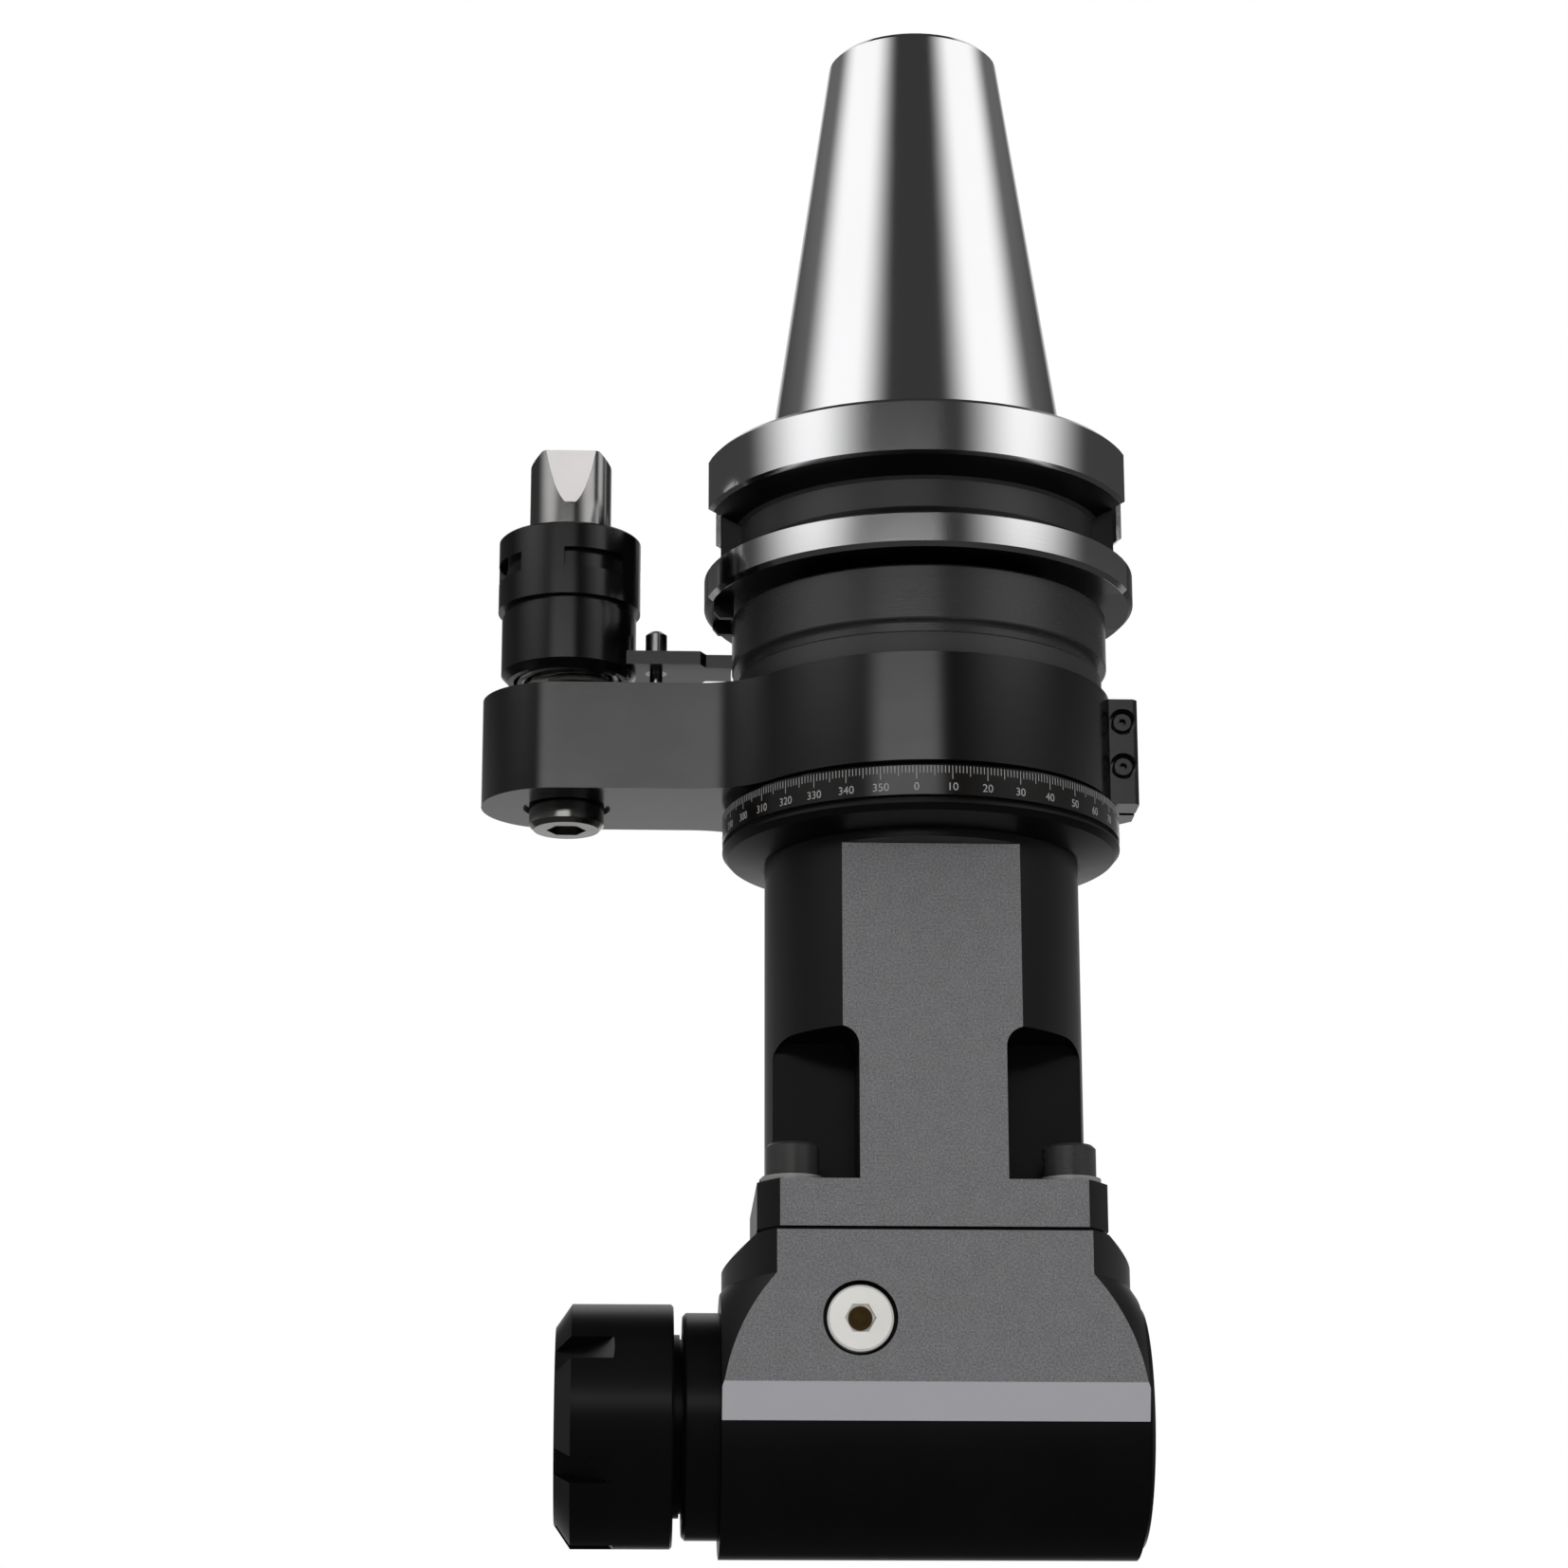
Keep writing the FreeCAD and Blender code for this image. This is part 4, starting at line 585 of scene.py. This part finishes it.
class HEAD_OT_housing(bpy.types.Operator):
    """Finish the cover, the neck, the dial and the head with its screws."""

    bl_idname = "angle_head.housing"
    bl_label = "Finish the housing"

    def execute(self, context):
        colours = settings()[0]
        cover = turned_metal("cover_steel", colours.cover, 0.2, metal=0.7, depth=0.000002)
        dress(cover, "top_cover")
        dress(housing_oxide("neck_oxide", colours, False), "neck_housing")
        dress(housing_oxide("head_oxide", colours, True), "head_housing")
        dial = black_oxide("dial_oxide", DIAL_OXIDE, gloss=0.14, sheen=0.8)
        dress(dial, "index_dial")
        oxide = black_oxide("cap_oxide", colours.oxide, gloss=0.26)
        dress(oxide, "joint_shim", "rear_cover", "cover_screws")
        screws = turned_metal("screw_steel", shade(colours.bright, 0.16), 0.22, metal=0.75)
        dress(screws, "joint_screws")
        washer = turned_metal("washer_steel", shade(colours.bright, 0.7), 0.3, metal=0.6)
        dress(washer, "screw_washers")
        plug = turned_metal("plug_steel", PLUG_STEEL, 0.3, mottled=0.15, metal=0.35)
        dress(plug, "grease_plug")
        return {"FINISHED"}


class HEAD_OT_nose(bpy.types.Operator):
    """Finish the output spindle, the collet and its nut."""

    bl_idname = "angle_head.nose"
    bl_label = "Finish the nose"

    def execute(self, context):
        colours = settings()[0]
        dark = turned_metal("spindle_steel", SPINDLE_STEEL, 0.34, along="x")
        dress(dark, "output_spindle")
        steel = turned_metal("collet_steel", COLLET_STEEL, 0.22, along="x")
        dress(steel, "collet")
        nose = black_oxide("nose_oxide", colours.oxide, along="x", gloss=0.28)
        dress(nose, "collet_nut", "nose_collar", "gear_nut", "front_nut")
        return {"FINISHED"}


class HEAD_OT_arm(bpy.types.Operator):
    """Finish the clamp ring, the arm, the stop pin and its sliding sleeve."""

    bl_idname = "angle_head.arm"
    bl_label = "Finish the arm"

    def execute(self, context):
        colours = settings()[0]
        arm = black_oxide("arm_oxide", shade(colours.oxide, 1.6), gloss=0.13, sheen=0.9)
        dress(arm, "stop_arm", "clamp_screws")
        sleeve = black_oxide("sleeve_oxide", colours.oxide, gloss=0.16, sheen=0.7)
        dress(sleeve, "latch_plate", "latch_screws")
        dress(sleeve, "stop_sleeve", "adjusting_ring", "stroke_screw")
        dress(pin_steel(colours), "stop_pin")
        bolt = turned_metal("bolt_steel", BOLT_STEEL, 0.16)
        dress(bolt, "pin_bolt", "guide_pin")
        dress(turned_metal("spring_steel", SPRING_STEEL, 0.3), "return_spring")
        return {"FINISHED"}


def new_tree(name, inputs):
    """A geometry tree with named inputs and one geometry output."""
    tree = bpy.data.node_groups.new(name, "GeometryNodeTree")
    for label, kind in inputs:
        tree.interface.new_socket(label, in_out="INPUT", socket_type=kind)
    tree.interface.new_socket("Geometry", in_out="OUTPUT", socket_type="NodeSocketGeometry")
    graph = Graph(tree)
    source = tree.nodes.new("NodeGroupInput")
    wires = {label: Signal(graph, source.outputs[label]) for label, _ in inputs}
    return tree, graph, wires


def close_tree(graph, geometry, material):
    """Realize the instances, set the material and feed the output."""
    real = graph.node("GeometryNodeRealizeInstances", {}, geometry)
    painted = graph.node("GeometryNodeSetMaterial", {}, real, Material=material)
    output = graph.tree.nodes.new("NodeGroupOutput")
    graph.tree.links.new(painted.node.outputs[0], output.inputs[0])


def grow(name, tree, values, body):
    """Evaluate a tree once and keep the result as a plain mesh that rides on a body."""
    seed = bpy.data.meshes.new(name + "_seed")
    host = bpy.data.objects.new(name + "_host", seed)
    bpy.context.scene.collection.objects.link(host)
    modifier = host.modifiers.new(name, "NODES")
    modifier.node_group = tree
    for item in tree.interface.items_tree:
        if item.in_out == "INPUT" and item.name in values:
            modifier[item.identifier] = values[item.name]
    depsgraph = bpy.context.evaluated_depsgraph_get()
    mesh = bpy.data.meshes.new_from_object(host.evaluated_get(depsgraph))
    mesh.name = name
    bpy.data.objects.remove(host)
    bpy.data.meshes.remove(seed)
    piece = bpy.data.objects.new(name, mesh)
    bpy.context.scene.collection.objects.link(piece)
    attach(piece, body)


def every(index, count):
    """1 at each index that the count divides, 0 elsewhere."""
    return index.math("MODULO", count) < 0.5


def tick_tree():
    """Ticks round the upper edge of the dial, longer at each fifth and tenth."""
    inputs = [
        ("Radius", "NodeSocketFloat"), ("Top", "NodeSocketFloat"),
        ("Count", "NodeSocketInt"), ("Short", "NodeSocketFloat"),
        ("Middle", "NodeSocketFloat"), ("Long", "NodeSocketFloat"),
        ("Width", "NodeSocketFloat"), ("Proud", "NodeSocketFloat"),
        ("Zero", "NodeSocketFloat"), ("Paint", "NodeSocketMaterial"),
    ]
    tree, graph, wire = new_tree("Dial ticks", inputs)
    index = graph.node("GeometryNodeInputIndex").out(0)
    angle = index * math.tau / wire["Count"] + wire["Zero"]
    fifth = every(index, 5.0)
    tenth = every(index, 10.0)
    length = wire["Short"] + fifth * (wire["Middle"] - wire["Short"])
    length = length + tenth * (wire["Long"] - wire["Middle"])
    spot = graph.node("ShaderNodeCombineXYZ", {}, angle.math("SINE") * wire["Radius"],
                      0.0 - angle.math("COSINE") * wire["Radius"], wire["Top"])
    points = graph.node("GeometryNodePoints", {}, wire["Count"], spot.out(0))
    block = graph.node("GeometryNodeMeshCube", {}, (1.0, 1.0, 1.0))
    hung = graph.node("GeometryNodeTransform", {}, block.out(0), Translation=(0.0, 0.0, -0.5))
    turn = graph.node("ShaderNodeCombineXYZ", {}, 0.0, 0.0, angle)
    size = graph.node("ShaderNodeCombineXYZ", {}, wire["Width"], wire["Proud"] * 2.0, length)
    ticks = graph.node("GeometryNodeInstanceOnPoints", {}, points.out(0))
    graph.feed(ticks.node.inputs["Instance"], hung.out(0))
    graph.feed(ticks.node.inputs["Rotation"], turn.out(0))
    graph.feed(ticks.node.inputs["Scale"], size.out(0))
    close_tree(graph, ticks.out(0), wire["Paint"])
    return tree


def figure_tree():
    """Numbers in tens of degrees, set out along the dial and wrapped round it."""
    inputs = [
        ("Radius", "NodeSocketFloat"), ("Height", "NodeSocketFloat"),
        ("Count", "NodeSocketInt"), ("Step", "NodeSocketFloat"),
        ("Size", "NodeSocketFloat"), ("Proud", "NodeSocketFloat"),
        ("Zero", "NodeSocketFloat"), ("Paint", "NodeSocketMaterial"),
    ]
    tree, graph, wire = new_tree("Dial figures", inputs)
    start = tree.nodes.new("GeometryNodeRepeatInput")
    end = tree.nodes.new("GeometryNodeRepeatOutput")
    start.pair_with_output(end)
    tree.links.new(wire["Count"].socket, start.inputs["Iterations"])
    turn = Signal(graph, start.outputs["Iteration"])
    text = graph.node("FunctionNodeValueToString", {}, turn * wire["Step"], 0)
    line = graph.node("GeometryNodeStringToCurves", {"align_x": "CENTER", "align_y": "MIDDLE"})
    graph.feed(line.node.inputs["String"], text.out(0))
    graph.feed(line.node.inputs["Size"], wire["Size"])
    real = graph.node("GeometryNodeRealizeInstances", {}, line.out(0))
    face = graph.node("GeometryNodeFillCurve", {}, real.out(0))
    lifted = graph.node("GeometryNodeExtrudeMesh", {"mode": "FACES"}, face.out(0))
    graph.feed(lifted.node.inputs["Offset Scale"], wire["Proud"] * 2.0)
    lifted.node.inputs["Individual"].default_value = False
    under = graph.node("GeometryNodeFlipFaces", {}, face.out(0))
    both = graph.node("GeometryNodeJoinGeometry", {}, lifted.out(0))
    tree.links.new(under.node.outputs[0], both.node.inputs[0])
    place = graph.node("GeometryNodeInputPosition")
    parts = graph.node("ShaderNodeSeparateXYZ", {}, place.out(0))
    degree = math.pi / 180.0
    angle = turn * wire["Step"] * degree + parts.out(0) / wire["Radius"] + wire["Zero"]
    radius = wire["Radius"] - wire["Proud"] + parts.out(2)
    wrapped = graph.node("ShaderNodeCombineXYZ", {}, angle.math("SINE") * radius,
                         0.0 - angle.math("COSINE") * radius, parts.out(1) + wire["Height"])
    bent = graph.node("GeometryNodeSetPosition", {}, both.out(0), Position=wrapped.out(0))
    joined = graph.node("GeometryNodeJoinGeometry", {}, bent.out(0))
    tree.links.new(start.outputs["Geometry"], joined.node.inputs[0])
    tree.links.new(joined.node.outputs[0], end.inputs["Geometry"])
    close_tree(graph, Signal(graph, end.outputs["Geometry"]), wire["Paint"])
    return tree


class HEAD_OT_dial(bpy.types.Operator):
    """Engrave the ticks and the plain numbers of the index dial."""

    bl_idname = "angle_head.dial"
    bl_label = "Engrave the dial"

    def execute(self, context):
        colours, dial, _ = settings()
        paint = dial_paint(colours)
        grow("dial_ticks", tick_tree(), {
            "Radius": DIAL_RADIUS, "Top": top_of("index_dial") - TICK_DROP,
            "Count": dial.ticks,
            "Short": dial.short_tick, "Middle": dial.middle_tick, "Long": dial.long_tick,
            "Width": dial.width, "Proud": dial.proud, "Zero": dial.zero, "Paint": paint,
        }, "housing")
        grow("dial_figures", figure_tree(), {
            "Radius": DIAL_RADIUS, "Height": foot_of("index_dial") + FIGURE_RISE,
            "Count": FIGURES, "Step": FIGURE_STEP, "Size": dial.figure, "Proud": dial.proud,
            "Zero": dial.zero, "Paint": paint,
        }, "housing")
        return {"FINISHED"}


def lamp(name, place, target, width, height, watts):
    """An area lamp that reflections don't see."""
    data = bpy.data.lights.new(name, "AREA")
    data.shape = "RECTANGLE"
    data.size = width
    data.size_y = height
    data.energy = watts
    thing = bpy.data.objects.new(name, data)
    thing.location = place
    aim = Vector(target) - Vector(place)
    thing.rotation_euler = aim.to_track_quat("-Z", "Y").to_euler()
    thing.visible_glossy = False
    bpy.context.scene.collection.objects.link(thing)


def sheet_mesh(name, points, faces, material):
    """A piece of the studio made of plain faces."""
    mesh = bpy.data.meshes.new(name)
    mesh.from_pydata(points, [], faces)
    mesh.materials.append(material)
    thing = bpy.data.objects.new(name, mesh)
    bpy.context.scene.collection.objects.link(thing)
    return thing


def floor_finish():
    """Plain pale floor."""

    def build(graph):
        coordinate = graph.place()[0]
        cloud = graph.noise(coordinate, 3.0, 2.0)
        return {"Base Color": graph.mix(cloud, *FLOOR)}

    return finish("pale_floor", build, {"Roughness": 0.8, "Specular IOR Level": 0.2})


def white_light(graph, kind, level, output):
    """White light of a given strength, led to the output of its tree."""
    light = graph.node(kind, {}, WHITE, level)
    target = graph.node(output)
    graph.tree.links.new(light.node.outputs[0], target.node.inputs[0])


def tent_finish():
    """Glow of the drum, by bearing from the front and by height.

    High on the wall stand two bright sides, low in front one bright panel, and a soft wall
    behind. The rest is dim.
    """
    material = bpy.data.materials.new("reflector_tent")
    graph = cleared(material)
    ends_glow = 0.035
    high_glow, side_glow = 0.04, 1.1
    rear_loss, rear_gain = 1.09, 0.09
    low_glow, low_side_glow, low_rear_glow = 0.03, 0.06, 0.15
    panel_glow, back_glow, under_glow = 2.6, 0.55, 0.4
    rear_height, rear_lean = 0.9, 0.42
    wall_edge = TENT_RADIUS - 0.02
    x, y, z = graph.place()[1:]
    bearing = x.math("ARCTAN2", 0.0 - y) + math.radians(4)
    aside = abs(bearing)
    front = over(aside, 20, 56)
    rear = over(aside - (z - rear_height) * rear_lean, 60, 104)
    above = z.ramp(0.69, 0.8)
    loss = rear_loss - rear_gain * z.ramp(1.0, 1.6)
    high = high_glow + side_glow * front - loss * rear
    behind = over(aside, 70, 120)
    low = low_glow + low_side_glow * over(aside, 14, 44)
    low = low + low_rear_glow * behind * (1.0 - z.ramp(0.5, 0.66))
    across = over(bearing, -34, -20)
    across = across - over(bearing, 8, 16)
    panel = across * z.ramp(0.47, 0.54) * (1.0 - z.ramp(0.67, 0.71))
    back = back_glow * over(aside, 152, 168)
    wall = low + (high - low) * above + panel_glow * panel + back
    on_wall = (x * x + y * y) ** 0.5 > wall_edge
    under = under_glow * y.ramp(1.4, 2.0) * (z < 0.0)
    glow = ends_glow + under + (wall - ends_glow - under) * on_wall
    white_light(graph, "ShaderNodeEmission", glow, "ShaderNodeOutputMaterial")
    return material


def reflector_tent():
    """A wide closed drum round the set that only reflections see."""
    points = []
    faces = []
    for index in range(TENT_SIDES):
        angle = math.tau * index / TENT_SIDES
        x = TENT_RADIUS * math.cos(angle)
        y = TENT_RADIUS * math.sin(angle)
        points += [(x, y, TENT_FOOT), (x, y, TENT_TOP)]
    for index in range(TENT_SIDES):
        here = 2 * index
        after = 2 * ((index + 1) % TENT_SIDES)
        faces.append((here, here + 1, after + 1, after))
    faces.append([2 * index for index in range(TENT_SIDES)])
    faces.append([2 * index + 1 for index in range(TENT_SIDES)])
    tent = sheet_mesh("reflector_tent", points, faces, tent_finish())
    tent.visible_camera = False
    tent.visible_diffuse = False
    tent.visible_shadow = False
    tent.visible_transmission = False


def white_world(strength):
    """Even fill for diffuse surfaces, and white for all rays that look at it."""
    world = bpy.data.worlds.new("studio")
    bpy.context.scene.world = world
    graph = cleared(world)
    path = graph.node("ShaderNodeLightPath")
    seen = path.out("Is Camera Ray").math("MAXIMUM", path.out("Is Glossy Ray"))
    seen = seen.math("MAXIMUM", path.out("Is Transmission Ray"))
    level = strength + (1.0 - strength) * seen
    white_light(graph, "ShaderNodeBackground", level, "ShaderNodeOutputWorld")


def camera(studio):
    """The view of the photograph, from its fitted place, direction and lens."""
    data = bpy.data.cameras.new("camera")
    data.sensor_width = SENSOR_WIDTH
    data.lens = studio.lens
    data.clip_start = NEAREST
    thing = bpy.data.objects.new("camera", data)
    forward = Vector((math.sin(studio.yaw) * math.cos(studio.pitch),
                      math.cos(studio.yaw) * math.cos(studio.pitch), math.sin(studio.pitch)))
    right = Vector((math.cos(studio.yaw), -math.sin(studio.yaw), 0.0))
    up = right.cross(forward)
    turned_right = right * math.cos(studio.roll) + up * math.sin(studio.roll)
    turned_up = up * math.cos(studio.roll) - right * math.sin(studio.roll)
    axes = Matrix((turned_right, turned_up, -forward)).transposed()
    thing.matrix_world = Matrix.Translation(Vector(studio.place)) @ axes.to_4x4()
    bpy.context.scene.collection.objects.link(thing)
    bpy.context.scene.camera = thing


class HEAD_OT_studio(bpy.types.Operator):
    """Set the floor, the lights, the white background and the camera."""

    bl_idname = "angle_head.studio"
    bl_label = "Set the studio"

    def execute(self, context):
        studio = settings()[2]
        context.scene.view_settings.view_transform = "Standard"
        half, depth = FLOOR_HALF, FLOOR_DEPTH
        corners = [(-half, -half, depth), (half, -half, depth),
                   (half, half, depth), (-half, half, depth)]
        sheet_mesh("floor", corners, [(0, 1, 2, 3)], floor_finish())
        reflector_tent()
        for name, place, target, width, height, share in LAMPS:
            lamp(name, place, target, width, height, studio.key * share)
        white_world(studio.fill)
        camera(studio)
        return {"FINISHED"}


class HEAD_PT_dressing(bpy.types.Panel):
    """Lists the steps of the dressing."""

    bl_label = "Angle head"
    bl_idname = "HEAD_PT_dressing"
    bl_space_type = "VIEW_3D"
    bl_region_type = "UI"
    bl_category = "Angle head"

    def draw(self, context):
        for operator in OPERATORS:
            self.layout.operator(operator.bl_idname)
        for group in settings():
            for name in group.__annotations__:
                self.layout.prop(group, name)


OPERATORS = (HEAD_OT_shank, HEAD_OT_bearings, HEAD_OT_housing, HEAD_OT_nose, HEAD_OT_arm,
             HEAD_OT_dial, HEAD_OT_studio)
GROUPS = (FinishSettings, DialSettings, StudioSettings)
CLASSES = (*GROUPS, *OPERATORS, HEAD_PT_dressing)


def register():
    for item in CLASSES:
        bpy.utils.register_class(item)
    bpy.types.Scene.head_finish = bpy.props.PointerProperty(type=FinishSettings)
    bpy.types.Scene.head_dial = bpy.props.PointerProperty(type=DialSettings)
    bpy.types.Scene.head_studio = bpy.props.PointerProperty(type=StudioSettings)


def unregister():
    del bpy.types.Scene.head_studio
    del bpy.types.Scene.head_dial
    del bpy.types.Scene.head_finish
    for item in reversed(CLASSES):
        bpy.utils.unregister_class(item)


def main():
    register()
    bpy.ops.angle_head.shank()
    bpy.ops.angle_head.bearings()
    bpy.ops.angle_head.housing()
    bpy.ops.angle_head.nose()
    bpy.ops.angle_head.arm()
    bpy.ops.angle_head.dial()
    bpy.ops.angle_head.studio()
    bpy.context.view_layer.update()


if __name__ == "__main__":
    main()
